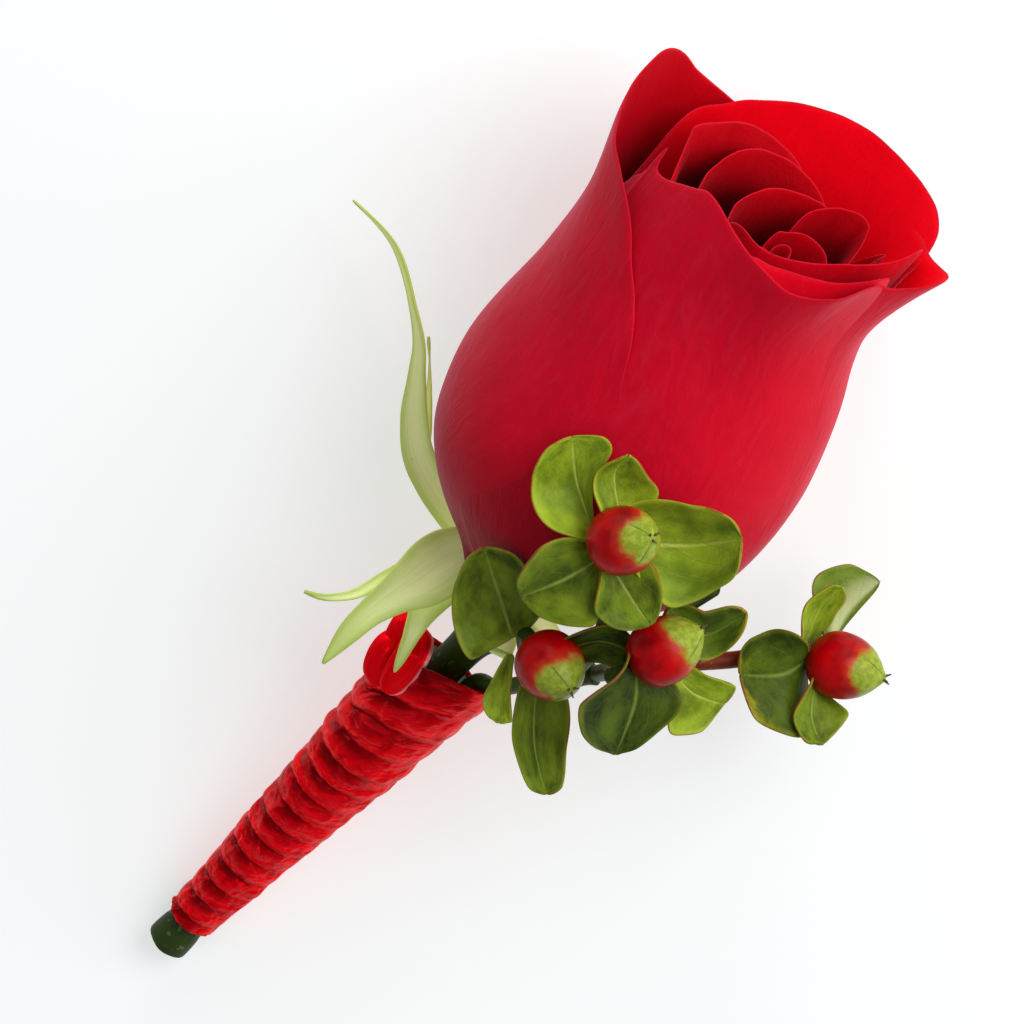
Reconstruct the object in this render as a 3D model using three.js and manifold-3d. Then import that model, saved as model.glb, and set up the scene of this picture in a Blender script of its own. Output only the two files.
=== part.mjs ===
// A boutonniere: one red rose bud and a sprig of St John's wort berries, bound in satin ribbon.
// Millimetres. The posy is laid out as it is looked at (x to the right, y up, z toward the eye,
// from the point where the petals leave the rose's hip), then turned to lie on a surface at z = 0.
import * as THREE from "three";
import Module from "manifold-3d";
import { mergeVertices } from "three/addons/utils/BufferGeometryUtils.js";

const wasm = await Module();
wasm.setup();

// ---- Driving dimensions ---------------------------------------------------------------------
const GAP = 0.3; // between neighbouring pieces
const BLADE = 0.8; // thickness of a petal or leaf

const ROSE_TURN = 54; // degrees from x toward y, along the bud
const ROSE_LEAN = 32; // degrees the bud leans toward the eye
const STEM_TURN = 45;
const STEM_LEAN = 33;
const REST_RISE = 10; // degrees the bud climbs from the surface that it lies on
const REST_DROP = 15.6; // from the hip down to that surface
const REST_CENTRE = 25.18; // height on the bud of the middle of the flat spot that it rests on
const REST_ASIDE = -0.04; // and how far that lies to the right

// Radius of the closed bud at each height above the hip
const BUD_PROFILE = [
  [0, 4.2], [4, 7.2], [9, 12.2], [15, 16.9], [20, 18.6], [26, 19.2], [33, 18.6], [42, 16.8],
  [51, 15.6], [60, 15.3], [70, 15.3],
];
const BUD_SAG = 1.027; // how much deeper the bud is on the side that it lies on
const CORE_TOP = 46; // the petals stand free above this
const CORE_DEPTH = 1.1; // how far the core lies under the outer petals
const BUD_BEND = { from: 36, to: 58, shift: -2.0 }; // the bud's mouth leans to the left
const PETAL_LAYERS = 1.25; // how far the outermost petal stands outside the profile

const HIP = { radius: 4.3, height: 6.5, neck: 2.5 };
const STEM = { start: [0.9, -0.9, 0.3], radius: 2.2, cutRadius: 2.6 };
const WRAP = { top: 15.2, bottom: 63.7, topRadius: 6.5, bottomRadius: 3.1, wall: 0.8, ridges: 15 };
const BINDING = { top: 15.6, bottom: 50, bore: 0.25 };
const SPRIG_STEM = 1.0; // radius
const BERRY = { length: 9.0, radius: 3.7 };
const LEAF_CLEARANCE = BLADE / 2 + GAP; // from a leaf's middle surface to a berry or petal

const COLOURS = {
  petal: 0xb60f27, stem: 0x3c4f1c, leaf: 0x5f7410, berry: 0xb01018, ribbon: 0xc40a16, tape: 0x39501f,
};

// ---- Directions -----------------------------------------------------------------------------
const rad = THREE.MathUtils.degToRad;
const vec = (x, y, z) => new THREE.Vector3(x, y, z);
const EYE = vec(0, 0, 1); // toward whoever looks at the posy

function direction(turn, lean) {
  return vec(Math.cos(rad(lean)) * Math.cos(rad(turn)), Math.cos(rad(lean)) * Math.sin(rad(turn)),
    Math.sin(rad(lean)));
}

const bud = direction(ROSE_TURN, ROSE_LEAN);
const right = vec(Math.sin(rad(ROSE_TURN)), -Math.cos(rad(ROSE_TURN)), 0); // across the bud
const near = right.clone().cross(bud); // the side of the bud that faces the eye
const stemLine = direction(STEM_TURN, STEM_LEAN);
const up = bud.clone().multiplyScalar(Math.sin(rad(REST_RISE)))
  .addScaledVector(near, Math.cos(rad(REST_RISE))); // away from the surface

// ---- Small tools ----------------------------------------------------------------------------
// A smooth curve through rows of numbers, t from 0 to 1.
function through(rows, t) {
  const last = rows.length - 1;
  const at = Math.min(Math.max(t, 0), 1) * last;
  const i = Math.min(Math.floor(at), last - 1);
  const f = at - i;
  const row = (k) => rows[Math.min(Math.max(k, 0), last)];
  return row(i).map((p1, c) => {
    const [p0, p2, p3] = [row(i - 1)[c], row(i + 1)[c], row(i + 2)[c]];
    const [m1, m2] = [(p2 - p0) / 2, (p3 - p1) / 2];
    return p1 + f * (m1 + f * (3 * (p2 - p1) - 2 * m1 - m2 + f * (2 * (p1 - p2) + m1 + m2)));
  });
}

// The value at x on a smooth line through [x, value] pairs.
function along(pairs, x) {
  const last = pairs.length - 1;
  const slope = (k) => {
    const [a, b] = [pairs[Math.max(k - 1, 0)], pairs[Math.min(k + 1, last)]];
    return (b[1] - a[1]) / (b[0] - a[0]);
  };
  let i = 0;
  while (i < last - 1 && x > pairs[i + 1][0]) i += 1;
  const width = pairs[i + 1][0] - pairs[i][0];
  const f = Math.min(Math.max((x - pairs[i][0]) / width, 0), 1);
  const [p1, p2, m1, m2] = [pairs[i][1], pairs[i + 1][1], slope(i) * width, slope(i + 1) * width];
  return p1 + f * (m1 + f * (3 * (p2 - p1) - 2 * m1 - m2 + f * (2 * (p1 - p2) + m1 + m2)));
}

const smooth = (x, from, to) => THREE.MathUtils.smoothstep(x, from, to);

// A point of the bud: degrees round it (0 faces the eye, 90 is right), radius and height.
function onBud(turn, radius, height, sideways = 0, forward = 0) {
  const bend = BUD_BEND.shift * smooth(height, BUD_BEND.from, BUD_BEND.to);
  const depth = radius * Math.cos(rad(turn));
  return bud.clone().multiplyScalar(height)
    .addScaledVector(near, (depth < 0 ? BUD_SAG * depth : depth) + forward)
    .addScaledVector(right, radius * Math.sin(rad(turn)) + sideways + bend);
}

function geometryOf(points, triangles) {
  const geometry = new THREE.BufferGeometry();
  const numbers = points.flatMap((p) => p.toArray());
  geometry.setAttribute("position", new THREE.Float32BufferAttribute(numbers, 3));
  geometry.setIndex(triangles.flat());
  return geometry;
}

// A closed shell between two grids of points that have the same rows and columns.
function shellBetween(front, back) {
  const [rows, cols] = [front.length, front[0].length];
  const points = [...front.flat(), ...back.flat()];
  const f = (i, j) => i * cols + j;
  const b = (i, j) => rows * cols + i * cols + j;
  const triangles = [];
  const quad = (p, q, r, s) => triangles.push([p, q, r], [p, r, s]);
  for (let i = 0; i < rows - 1; i += 1) {
    for (let j = 0; j < cols - 1; j += 1) {
      quad(f(i, j), f(i, j + 1), f(i + 1, j + 1), f(i + 1, j));
      triangles.push([b(i, j), b(i + 1, j + 1), b(i, j + 1)]);
      triangles.push([b(i, j), b(i + 1, j), b(i + 1, j + 1)]);
    }
  }
  for (let i = 0; i < rows - 1; i += 1) {
    quad(f(i + 1, 0), b(i + 1, 0), b(i, 0), f(i, 0));
    quad(f(i, cols - 1), b(i, cols - 1), b(i + 1, cols - 1), f(i + 1, cols - 1));
  }
  for (let j = 0; j < cols - 1; j += 1) {
    quad(f(0, j), b(0, j), b(0, j + 1), f(0, j + 1));
    quad(f(rows - 1, j + 1), b(rows - 1, j + 1), b(rows - 1, j), f(rows - 1, j));
  }
  return geometryOf(points, triangles);
}

function solid(geometry) {
  const plain = geometry.clone();
  plain.deleteAttribute("normal");
  plain.deleteAttribute("uv");
  const merged = mergeVertices(plain, 1e-4);
  const positions = merged.getAttribute("position").array;
  const index = merged.getIndex().array;
  const kept = [];
  for (let i = 0; i < index.length; i += 3) {
    const [a, b, c] = index.slice(i, i + 3);
    if (a !== b && b !== c && c !== a) kept.push(a, b, c);
  }
  const build = (order) => new wasm.Manifold(new wasm.Mesh({
    numProp: 3, vertProperties: new Float32Array(positions), triVerts: new Uint32Array(order),
  }));
  const shape = build(kept);
  if (shape.volume() > 0) return shape;
  const flipped = [];
  for (let i = 0; i < kept.length; i += 3) flipped.push(kept[i], kept[i + 2], kept[i + 1]);
  return build(flipped);
}

// The main body of a shape: hollows that a join sealed are filled, loose scraps dropped.
const larger = (a, b) => (b.volume() > a.volume() ? b : a);
const mainBody = (shape) => shape.decompose().reduce(larger);
const join = (shapes) => mainBody(shapes.reduce((sum, shape) => sum.add(shape)));

function geometryFrom(shape) {
  const mesh = shape.getMesh();
  const geometry = new THREE.BufferGeometry();
  geometry.setAttribute("position", new THREE.Float32BufferAttribute(mesh.vertProperties, 3));
  geometry.setIndex(new THREE.Uint32BufferAttribute(mesh.triVerts, 1));
  return geometry;
}

// A tube through [centre, axis, radius] stations, with flat ends.
function tubeThrough(stations, sides) {
  const points = [];
  for (const [centre, axis, radius] of stations) {
    const side = vec(0, 0, 1).cross(axis).normalize();
    const other = axis.clone().cross(side);
    for (let k = 0; k < sides; k += 1) {
      const a = (2 * Math.PI * k) / sides;
      points.push(centre.clone().addScaledVector(side, radius * Math.cos(a))
        .addScaledVector(other, radius * Math.sin(a)));
    }
  }
  const triangles = [];
  for (let i = 0; i < stations.length - 1; i += 1) {
    for (let k = 0; k < sides; k += 1) {
      const [a, b] = [i * sides + k, i * sides + ((k + 1) % sides)];
      triangles.push([a, b, b + sides], [a, b + sides, a + sides]);
    }
  }
  const last = (stations.length - 1) * sides;
  for (let k = 1; k < sides - 1; k += 1) {
    triangles.push([0, k + 1, k], [last, last + k, last + k + 1]);
  }
  return geometryOf(points, triangles);
}

// A tube along a curve; radius is a function of t.
function tube(curve, radius, steps, sides) {
  return tubeThrough(Array.from({ length: steps + 1 }, (_, i) =>
    [curve.getPoint(i / steps), curve.getTangent(i / steps), radius(i / steps)]), sides);
}

// ---- Blades: leaves and sepals --------------------------------------------------------------
// A thin blade about a midrib. `outline` gives half the width at t, `faces` which way its upper
// side looks at its root and from `twistBy` on, `fold` lifts both halves in a V, `cup` bows them
// and `clear` bends each point away from its neighbours.
function blade({
  rib, faces, outline, clear = (p) => p, twistBy = 1, fold = 0, cup = 0, steps = 7, across = 4,
}) {
  const curve = new THREE.CatmullRomCurve3(rib, false, "centripetal");
  const [front, back] = [[], []];
  for (let i = 0; i <= steps; i += 1) {
    const t = i / steps;
    const tangent = curve.getTangent(t);
    const faceHere = faces[0].clone().lerp(faces[1], smooth(t, 0, twistBy));
    const side = tangent.clone().cross(faceHere).normalize();
    const lift = side.clone().cross(tangent).normalize();
    const half = outline(t);
    const [frontRow, backRow] = [[], []];
    for (let j = 0; j <= across; j += 1) {
      const u = (2 * j) / across - 1;
      const rise = half * (Math.abs(u) * Math.sin(rad(fold)) + cup * u * u);
      const mid = clear(curve.getPoint(t).addScaledVector(side, half * u * Math.cos(rad(fold)))
        .addScaledVector(lift, rise));
      frontRow.push(mid.clone().addScaledVector(lift, BLADE / 2));
      backRow.push(mid.clone().addScaledVector(lift, -BLADE / 2));
    }
    front.push(frontRow);
    back.push(backRow);
  }
  return shellBetween(front, back);
}

// ---- Rose bloom -----------------------------------------------------------------------------
// Each petal hangs from its claw at the hip and fans out to its margin: rows of [turn, height,
// outward flare]. `over` is how far it lies outside the bud's profile and `ring` its radius at
// the mouth, for the petals inside.
const OUTER_PETALS = {
  left: {
    claw: -105, over: 0.8, bendFrom: 0.62, columns: 15,
    margin: [[-196, 22, 0], [-196, 44, 0], [-178, 55.5, 0], [-150, 58, 0.6], [-128, 59.2, 1.4],
      [-107, 62.6, 3.2], [-90, 58.8, 2.4], [-76, 56.9, 1.3], [-58, 55.8, 0.4], [-44, 54.4, 0],
      [-30, 51.2, 0], [-16, 45.8, 0], [-9, 37, 0], [-8, 24, 0]],
  },
  front: {
    claw: 20, over: 0.35, bendFrom: 0.7, columns: 15,
    margin: [[-66, 30, 0], [-67, 50, 0], [-60, 60.6, 0], [-47, 60.4, -0.2], [-34, 62.6, 0],
      [-20, 63.2, 0.4], [-5, 61.8, 0.8], [10, 60.2, 1.8], [25, 60.4, 3.0], [38, 62.6, 3.2],
      [52, 64.0, 1.6], [72, 60, 0.4], [92, 50, 0], [100, 34, 0]],
  },
  rightTip: {
    claw: 112, over: 0, bendFrom: 0.7, columns: 15,
    margin: [[40, 30, 0], [38, 52, 0], [50, 62, 0.4], [66, 62.8, 1.6], [86, 64.2, 4.4],
      [104, 63, 1.6], [130, 61, 0.6], [160, 60, 0.8], [184, 50, 0], [188, 30, 0]],
  },
  back: {
    claw: 190, over: -0.35, bendFrom: 0.6, columns: 14,
    margin: [[92, 34, 0], [94, 56, 0], [108, 64, 1.2], [138, 64.4, 1.5], [168, 63.8, 0.8],
      [200, 62, 0.4], [228, 59.6, 0.2], [252, 57, 0.2], [266, 40, 0]],
  },
  lip: {
    claw: 45, over: -0.45, bendFrom: 0.72, columns: 11,
    margin: [[-22, 36, 0], [-22, 54, 0], [-8, 60.6, 0.6], [12, 62.4, 1.8], [30, 63.4, 2.4],
      [48, 65.0, 2.0], [66, 65.2, 1.2], [84, 60, 0], [92, 40, 0]],
  },
};

const INNER_PETALS = [
  { claw: 30, ring: 14.2, sideways: 1.0,
    margin: [[-48, 50, 0], [-40, 59, 0], [-25, 62, 0], [0, 61.6, 0], [25, 62.6, 0.3],
      [50, 65.2, 0.6], [75, 66.2, 0.6], [98, 64, 0], [108, 52, 0]] },
  { claw: 250, ring: 13.2, sideways: 0,
    margin: [[190, 50, -1], [200, 57, -0.6], [220, 60, 0], [242, 58.2, 0.4], [262, 57.2, 0.6],
      [285, 58, 0.4], [308, 59, 0], [322, 50, -0.6]] },
  { claw: 200, ring: 11.0, sideways: 0.6,
    margin: [[140, 50, -1], [150, 57, -0.6], [172, 59.2, 0], [195, 59.4, 0.2], [215, 58.4, 0.2],
      [235, 56, 0], [255, 50, -0.8]] },
  { claw: 110, ring: 9.6, sideways: 1.6,
    margin: [[50, 50, -1.4], [60, 59, -0.6], [85, 61.2, 0], [112, 61.8, 0.6], [135, 60.4, 0.2],
      [150, 50, -1]] },
  { claw: 180, ring: 7.8, sideways: 1.6,
    margin: [[120, 50, -1], [132, 57, -0.4], [158, 58.6, 0.2], [186, 58.2, 0], [212, 57, 0.3],
      [238, 56.4, 0], [250, 50, -0.8]] },
  { claw: 330, ring: 8.6, sideways: 1.2,
    margin: [[280, 50, -0.6], [292, 56.6, 0], [315, 58.6, 0.2], [340, 58.8, 0.2], [368, 57, 0],
      [384, 50, -1]] },
  { claw: 60, ring: 5.4, sideways: 1.8,
    margin: [[0, 50, -0.6], [20, 56.4, 0], [60, 57.6, 0.3], [100, 57, 0], [120, 50, -1]] },
  { claw: 220, ring: 4.6, sideways: 1.4,
    margin: [[140, 50, -0.6], [170, 55.6, 0], [220, 56.4, 0.3], [270, 55.8, 0], [290, 50, -1]] },
  { claw: 320, ring: 2.6, sideways: 1.6,
    margin: [[200, 50, -0.6], [260, 55, 0], [330, 55.6, 0.2], [400, 54.8, 0], [430, 50, -0.6]] },
];

const mouthRadius = along(BUD_PROFILE, 60);

function outerPetal({ claw, over, bendFrom, columns, margin }, foot) {
  const rows = 6;
  const [front, back] = [[], []];
  for (let i = 0; i <= rows; i += 1) {
    const v = i / rows;
    const [frontRow, backRow] = [[], []];
    for (let j = 0; j <= columns; j += 1) {
      const [turn, height, flare] = through(margin, j / columns);
      const h = foot + (height - foot) * v;
      const fan = claw + (turn - claw) * (0.55 + 0.45 * smooth(v, 0, 0.6));
      const bend = Math.max(0, (v - bendFrom) / (1 - bendFrom)) ** 2;
      const middle = along(BUD_PROFILE, h) + over + flare * bend;
      const sunk = 1 - smooth(h, CORE_TOP - 7, CORE_TOP - 1);
      const deep = along(BUD_PROFILE, h) - 1.9;
      const inner = Math.max(1, THREE.MathUtils.lerp(middle - BLADE / 2, deep, sunk));
      frontRow.push(onBud(fan, middle + BLADE / 2, h));
      backRow.push(onBud(fan, Math.min(inner, middle - BLADE / 2), h));
    }
    front.push(frontRow);
    back.push(backRow);
  }
  return shellBetween(front, back);
}

function innerPetal({ claw, ring, sideways, margin }) {
  const [rows, columns] = [3, 9];
  const foot = CORE_TOP - 3;
  const [front, back] = [[], []];
  for (let i = 0; i <= rows; i += 1) {
    const v = i / rows;
    const [frontRow, backRow] = [[], []];
    for (let j = 0; j <= columns; j += 1) {
      const [turn, height, flare] = through(margin, j / columns);
      const h = foot + (height - foot) * v;
      const fan = claw + (turn - claw) * (0.8 + 0.2 * v);
      const middle = (ring * along(BUD_PROFILE, h)) / mouthRadius + flare * v * v;
      frontRow.push(onBud(fan, middle + BLADE / 2, h, sideways));
      backRow.push(onBud(fan, Math.max(0.3, middle - BLADE / 2), h, sideways));
    }
    front.push(frontRow);
    back.push(backRow);
  }
  return shellBetween(front, back);
}

function budCore() {
  const outline = [new THREE.Vector2(0, GAP)];
  const steps = 14;
  for (let i = 0; i <= steps; i += 1) {
    const h = GAP + ((CORE_TOP - GAP) * i) / steps;
    outline.push(new THREE.Vector2(Math.max(along(BUD_PROFILE, h) - CORE_DEPTH, 3), h));
  }
  outline.push(new THREE.Vector2(0, CORE_TOP + 2));
  const lathe = new THREE.LatheGeometry(outline, 32);
  const position = lathe.getAttribute("position");
  for (let i = 0; i < position.count; i += 1) {
    const [x, h, z] = [position.getX(i), position.getY(i), position.getZ(i)];
    const p = onBud(THREE.MathUtils.radToDeg(Math.atan2(x, z)), Math.hypot(x, z), h);
    position.setXYZ(i, p.x, p.y, p.z);
  }
  return lathe;
}

// Everything above the surface that the posy lies on.
function aboveRest() {
  const size = 300;
  const box = new THREE.BoxGeometry(size, size, size);
  const turn = new THREE.Quaternion().setFromUnitVectors(vec(0, 0, 1), up);
  box.translate(0, 0, size / 2 - REST_DROP);
  box.applyQuaternion(turn);
  return solid(box);
}

function roseBloom() {
  const pieces = [solid(budCore())];
  Object.values(OUTER_PETALS).forEach((petal, i) => {
    pieces.push(solid(outerPetal(petal, 0.4 + 0.16 * i)));
  });
  for (const petal of INNER_PETALS) pieces.push(solid(innerPetal(petal)));
  return geometryFrom(mainBody(join(pieces).intersect(aboveRest())));
}

// ---- Rose stem: cut end, stem, hip and the five sepals ----------------------------------------
const along3 = (line, distance) => line.clone().multiplyScalar(distance);
const stemAt = (distance) => vec(...STEM.start).addScaledVector(stemLine, -distance);
const cutDrop = STEM.cutRadius * Math.sqrt(1 - stemLine.dot(up) ** 2);
const stemEnd = (REST_DROP + stemAt(0).dot(up) - cutDrop) / stemLine.dot(up); // meets the surface

// Sepals that stand free: the points of the rib and half the width along it.
const SEPALS = {
  upright: {
    rib: [[-2.2, 1.6, -3], [-5, 6, -6], [-8, 12, -4], [-9.8, 18.7, -0.2], [-10, 26, 4.4],
      [-10.4, 33, 8], [-12.4, 38.2, 9.4], [-16.6, 42.4, 10]],
    faces: [[0.5, 0.69, 0.53], [-0.9, 0.3, 0.5]],
    outline: [[0, 2], [0.3, 3], [0.5, 2.4], [0.7, 1.1], [0.85, 0.8], [1, 0.35]], fold: 14,
  },
  backward: {
    rib: [[-1.8, 0.4, -1.2], [-4.6, 1.6, -1.4], [-8.6, 1.2, 0.6], [-13.2, -1.6, 3], [-17.2, -5.4, 4],
      [-20.4, -8.4, 4]],
    faces: [[0.5, 0.69, 0.53], [0, 0, 1]],
    outline: [[0, 2.4], [0.25, 3.8], [0.5, 3.1], [0.75, 1.8], [1, 0.35]], fold: 10,
  },
};
const SEPAL_LOBES = [
  { rib: [[-10, 1.6, 1.4], [-13, 1, 3], [-17.2, -0.4, 3.8], [-21.6, -0.6, 4.2]],
    outline: [[0, 0.9], [0.5, 0.6], [1, 0.35]] },
  { rib: [[-8.4, 0.4, 0.8], [-10, -3.4, 2], [-11.8, -8.4, 2.2]],
    outline: [[0, 1.4], [0.4, 1.5], [1, 0.35]] },
];
// Sepals under the bud: degrees round it, and [radius, height] along the rib.
const HIDDEN_SEPALS = [
  { turn: 18, rib: [[3.4, -0.9], [6.5, -2], [9.4, -2], [12, 0.4]] },
  { turn: 95, rib: [[3.4, -0.9], [6.5, -2], [9.5, -4], [11.5, -8]] },
  { turn: 172, rib: [[3.4, -0.9], [6.5, -2], [9.5, -4.4], [11, -8.6]] },
];

const toVectors = (rows) => rows.map((row) => vec(...row));

function roseStem() {
  const stations = [
    [vec(0, 0, 0), bud, HIP.radius * 0.92], [along3(bud, -1.2), bud, HIP.radius],
    [along3(bud, -3.2), bud, HIP.radius * 0.96], [stemAt(HIP.height), stemLine, HIP.neck],
    [stemAt(HIP.height + 3), stemLine, STEM.radius],
    [stemAt(stemEnd - 6), stemLine, STEM.radius],
    [stemAt(stemEnd - 2.5), stemLine, STEM.cutRadius * 0.97],
    [stemAt(stemEnd), stemLine, STEM.cutRadius],
  ];
  const pieces = [solid(tubeThrough(stations, 16))];
  for (const { rib, faces, outline, fold } of Object.values(SEPALS)) {
    pieces.push(solid(blade({
      rib: toVectors(rib), faces: toVectors(faces), outline: (t) => along(outline, t), fold, steps: 12,
    })));
  }
  for (const { rib, outline } of SEPAL_LOBES) {
    pieces.push(solid(blade({
      rib: toVectors(rib), faces: [EYE, EYE], outline: (t) => along(outline, t), steps: 5, across: 2,
    })));
  }
  for (const { turn, rib } of HIDDEN_SEPALS) {
    const face = onBud(turn, 1, 0).negate().addScaledVector(bud, 1.5);
    pieces.push(solid(blade({ rib: rib.map(([r, h]) => onBud(turn, r, h)), faces: [face, face],
      outline: (t) => 2.6 * Math.sqrt(1 - t * t * 0.98), steps: 6 })));
  }
  return geometryFrom(join(pieces));
}

// ---- Hypericum sprig ------------------------------------------------------------------------
// Each berry sits in a whorl of leaves at the end of its stalk. A leaf's `turn` is clockwise from
// straight up as the posy is looked at, `rise` its climb toward the eye.
const SPRIG_OFFSET = vec(Math.sin(rad(STEM_TURN)), -Math.cos(rad(STEM_TURN)), 0)
  .multiplyScalar(STEM.radius + GAP + SPRIG_STEM);
const SPRIG_FOOT = 20; // how far down the stem the sprig's own stalk ends, inside the binding

const CLUSTERS = [
  { berry: [12.4, 5.6, 36.4], axis: [0.6, 0.08, 0.8], face: [0.1, -0.5, 0.85], leaves: [
    { turn: -19, rise: 22, length: 12.6, width: 8.4, bow: 0.10 },
    { turn: 29, rise: 42, length: 11.8, width: 7.4, bow: 0.04, fold: 12 },
    { turn: 91, rise: 3, length: 15.6, width: 12.6, bow: -0.06 },
    { turn: -132, rise: -8, length: 11.4, width: 9.8, bow: 0.04 },
    { turn: 142, rise: -18, length: 8.8, width: 6.4, bow: 0.1 }] },
  { berry: [4.8, -8.2, 21.5], axis: [0.44, -0.5, 0.74], face: [-0.2, -0.35, 0.9], leaves: [
    { turn: -46, rise: 34, length: 13.4, width: 10.2, bow: -0.04 },
    { turn: 172, rise: -8, length: 16.8, width: 6, bow: -0.06 },
    { turn: -157, rise: -12, length: 8.6, width: 4.4, bow: 0.1 }] },
  { berry: [17, -6, 25.5], axis: [0.85, 0.17, 0.48], face: [0.3, -0.5, 0.8], leaves: [
    { turn: 179, rise: -18, length: 11.2, width: 11.4, bow: 0.08 },
    { turn: 124, rise: -20, length: 12.6, width: 7, bow: -0.08 },
    { turn: 80, rise: -6, length: 13.2, width: 6.8, bow: 0.12 },
    { turn: 60, rise: 14, length: 10.4, width: 4.2, bow: 0.04 }] },
  { berry: [37, -8.4, 10], axis: [0.92, -0.28, 0.25], face: [0.4, 0, 0.9], leaves: [
    { turn: -118, rise: 10, length: 7.4, width: 11.2, bow: 0.05 },
    { turn: 168, rise: -8, length: 10.8, width: 7, bow: 0.05 },
    { turn: 16, rise: 16, length: 7.6, width: 5.6, bow: 0.1 },
    { turn: 44, rise: -8, length: 12.6, width: 6.2, bow: 0.24 }] },
];
const FORK = vec(3, -10.2, 4.5);
const OUTER_FORK = vec(9.5, -9.2, 8.5);
const STALKS = [
  { path: [FORK, vec(7, -8.8, 10.4), vec(10, -5, 19.6), vec(10.4, 0.4, 27.2)], to: 0 },
  { path: [FORK, vec(2.4, -8.6, 10.4)], to: 1 },
  { path: [OUTER_FORK, vec(11.4, -8.6, 15)], to: 2 },
  { path: [OUTER_FORK, vec(16, -8.2, 9.6), vec(25, -7.6, 9.6)], to: 3 },
];

const axisOf = ({ axis }) => vec(...axis).normalize();
const rootOf = (cluster) =>
  vec(...cluster.berry).addScaledVector(axisOf(cluster), -BERRY.length / 2 - GAP);

// Half the width of a leaf at t, as a share of its widest.
function leafOutline(t) {
  const round = Math.sqrt(Math.max(0, 1 - (2 * t - 1) ** 2)) ** 0.8;
  return round * (1 - 0.12 * t) + 0.16 * (1 - t) + 0.05;
}

// Bends a point of a leaf clear of the bud and of the leaf's own berry.
function clearOf(cluster, point) {
  const height = point.dot(bud);
  const axle = onBud(0, 0, height);
  const fromAxle = point.clone().sub(axle);
  const least = along(BUD_PROFILE, height) + PETAL_LAYERS + LEAF_CLEARANCE;
  if (height > 0 && fromAxle.length() < least) point = axle.add(fromAxle.setLength(least));
  const axis = axisOf(cluster);
  const fromBerry = point.clone().sub(vec(...cluster.berry));
  const reach = fromBerry.dot(axis) / (BERRY.length / 2 + LEAF_CLEARANCE);
  if (Math.abs(reach) > 1) return point;
  const aside = fromBerry.clone().addScaledVector(axis, -fromBerry.dot(axis));
  const room = (BERRY.radius + 1.4 * LEAF_CLEARANCE) * Math.sqrt(1 - reach ** 6);
  const short = Math.max(0, room - aside.length());
  return point.addScaledVector(aside.normalize(), short);
}

function sprigLeaf(cluster, { turn, rise, length, width, bow, fold = 8 }) {
  const heading = direction(90 - turn, rise);
  const axis = axisOf(cluster);
  const outward = heading.clone().addScaledVector(axis, -heading.dot(axis)).normalize();
  const root = rootOf(cluster).addScaledVector(axis, -1.1);
  const tip = root.clone().addScaledVector(heading, length);
  const face = vec(...cluster.face).normalize();
  const spread = 0.22 + 0.2 * Math.max(0, heading.dot(axis)); // clears the berry
  const middle = root.clone().addScaledVector(outward, length * spread)
    .addScaledVector(heading, length * 0.3).addScaledVector(face, -bow * length * 0.5);
  return blade({ rib: [root, middle, tip], faces: [axis, face], twistBy: 0.4, fold,
    outline: (t) => (width / 2) * leafOutline(t), clear: (p) => clearOf(cluster, p), steps: 6 });
}

function hypericumSprig() {
  const foot = stemAt(SPRIG_FOOT).add(SPRIG_OFFSET);
  const mouth = stemAt(WRAP.top - 3).add(SPRIG_OFFSET);
  const bound = new THREE.LineCurve3(foot, mouth.clone().addScaledVector(stemLine, 0.4));
  const free = new THREE.CatmullRomCurve3([
    mouth, vec(-1.2, -11, -1.4), FORK, vec(6.4, -10, 6.8), OUTER_FORK,
  ]);
  const pieces = [
    solid(tube(bound, () => SPRIG_STEM, 1, 8)),
    solid(tube(free, () => SPRIG_STEM, 10, 8)),
  ];
  for (const { path, to } of STALKS) {
    const cluster = CLUSTERS[to];
    const root = rootOf(cluster);
    const back = root.clone().addScaledVector(axisOf(cluster), -2);
    const curve = new THREE.CatmullRomCurve3([...path, back, root]);
    pieces.push(solid(tube(curve, (t) => 0.95 + 0.35 * smooth(t, 0.9, 1), 12, 7)));
  }
  for (const cluster of CLUSTERS) {
    for (const leaf of cluster.leaves) pieces.push(solid(sprigLeaf(cluster, leaf)));
  }
  return geometryFrom(join(pieces));
}

function berry(cluster) {
  const outline = [
    [0, 0], [1.1, 0.05], [2.6, 0.9], [3.5, 2.3], [3.7, 4.1], [3.4, 5.8], [2.6, 7.2], [1.5, 8.2],
    [0.7, 8.7], [0.45, 9.2], [0, 9.3],
  ].map(([r, h]) => new THREE.Vector2(r, h - BERRY.length / 2));
  const lathe = new THREE.LatheGeometry(outline, 16);
  lathe.applyQuaternion(new THREE.Quaternion().setFromUnitVectors(vec(0, 1, 0), axisOf(cluster)));
  lathe.translate(...cluster.berry);
  return geometryFrom(solid(lathe));
}

const RIBBON_ENDS = [
  { rib: [[-12.5, -13.7, -4.3], [-13.8, -10.6, -3.8], [-14, -7, -4.6]], width: 3.2 },
  { rib: [[-12, -13, -2.8], [-12, -9.4, -1.6], [-11.2, -3.8, -2.6]], width: 5.2 },
];

// ---- Binding and ribbon ---------------------------------------------------------------------
const BORE_TOP = WRAP.topRadius - WRAP.wall;
const BORE_BOTTOM = STEM.radius + BINDING.bore;
const boreAt = (distance) =>
  THREE.MathUtils.mapLinear(distance, WRAP.top, WRAP.bottom, BORE_TOP, BORE_BOTTOM);

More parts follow.
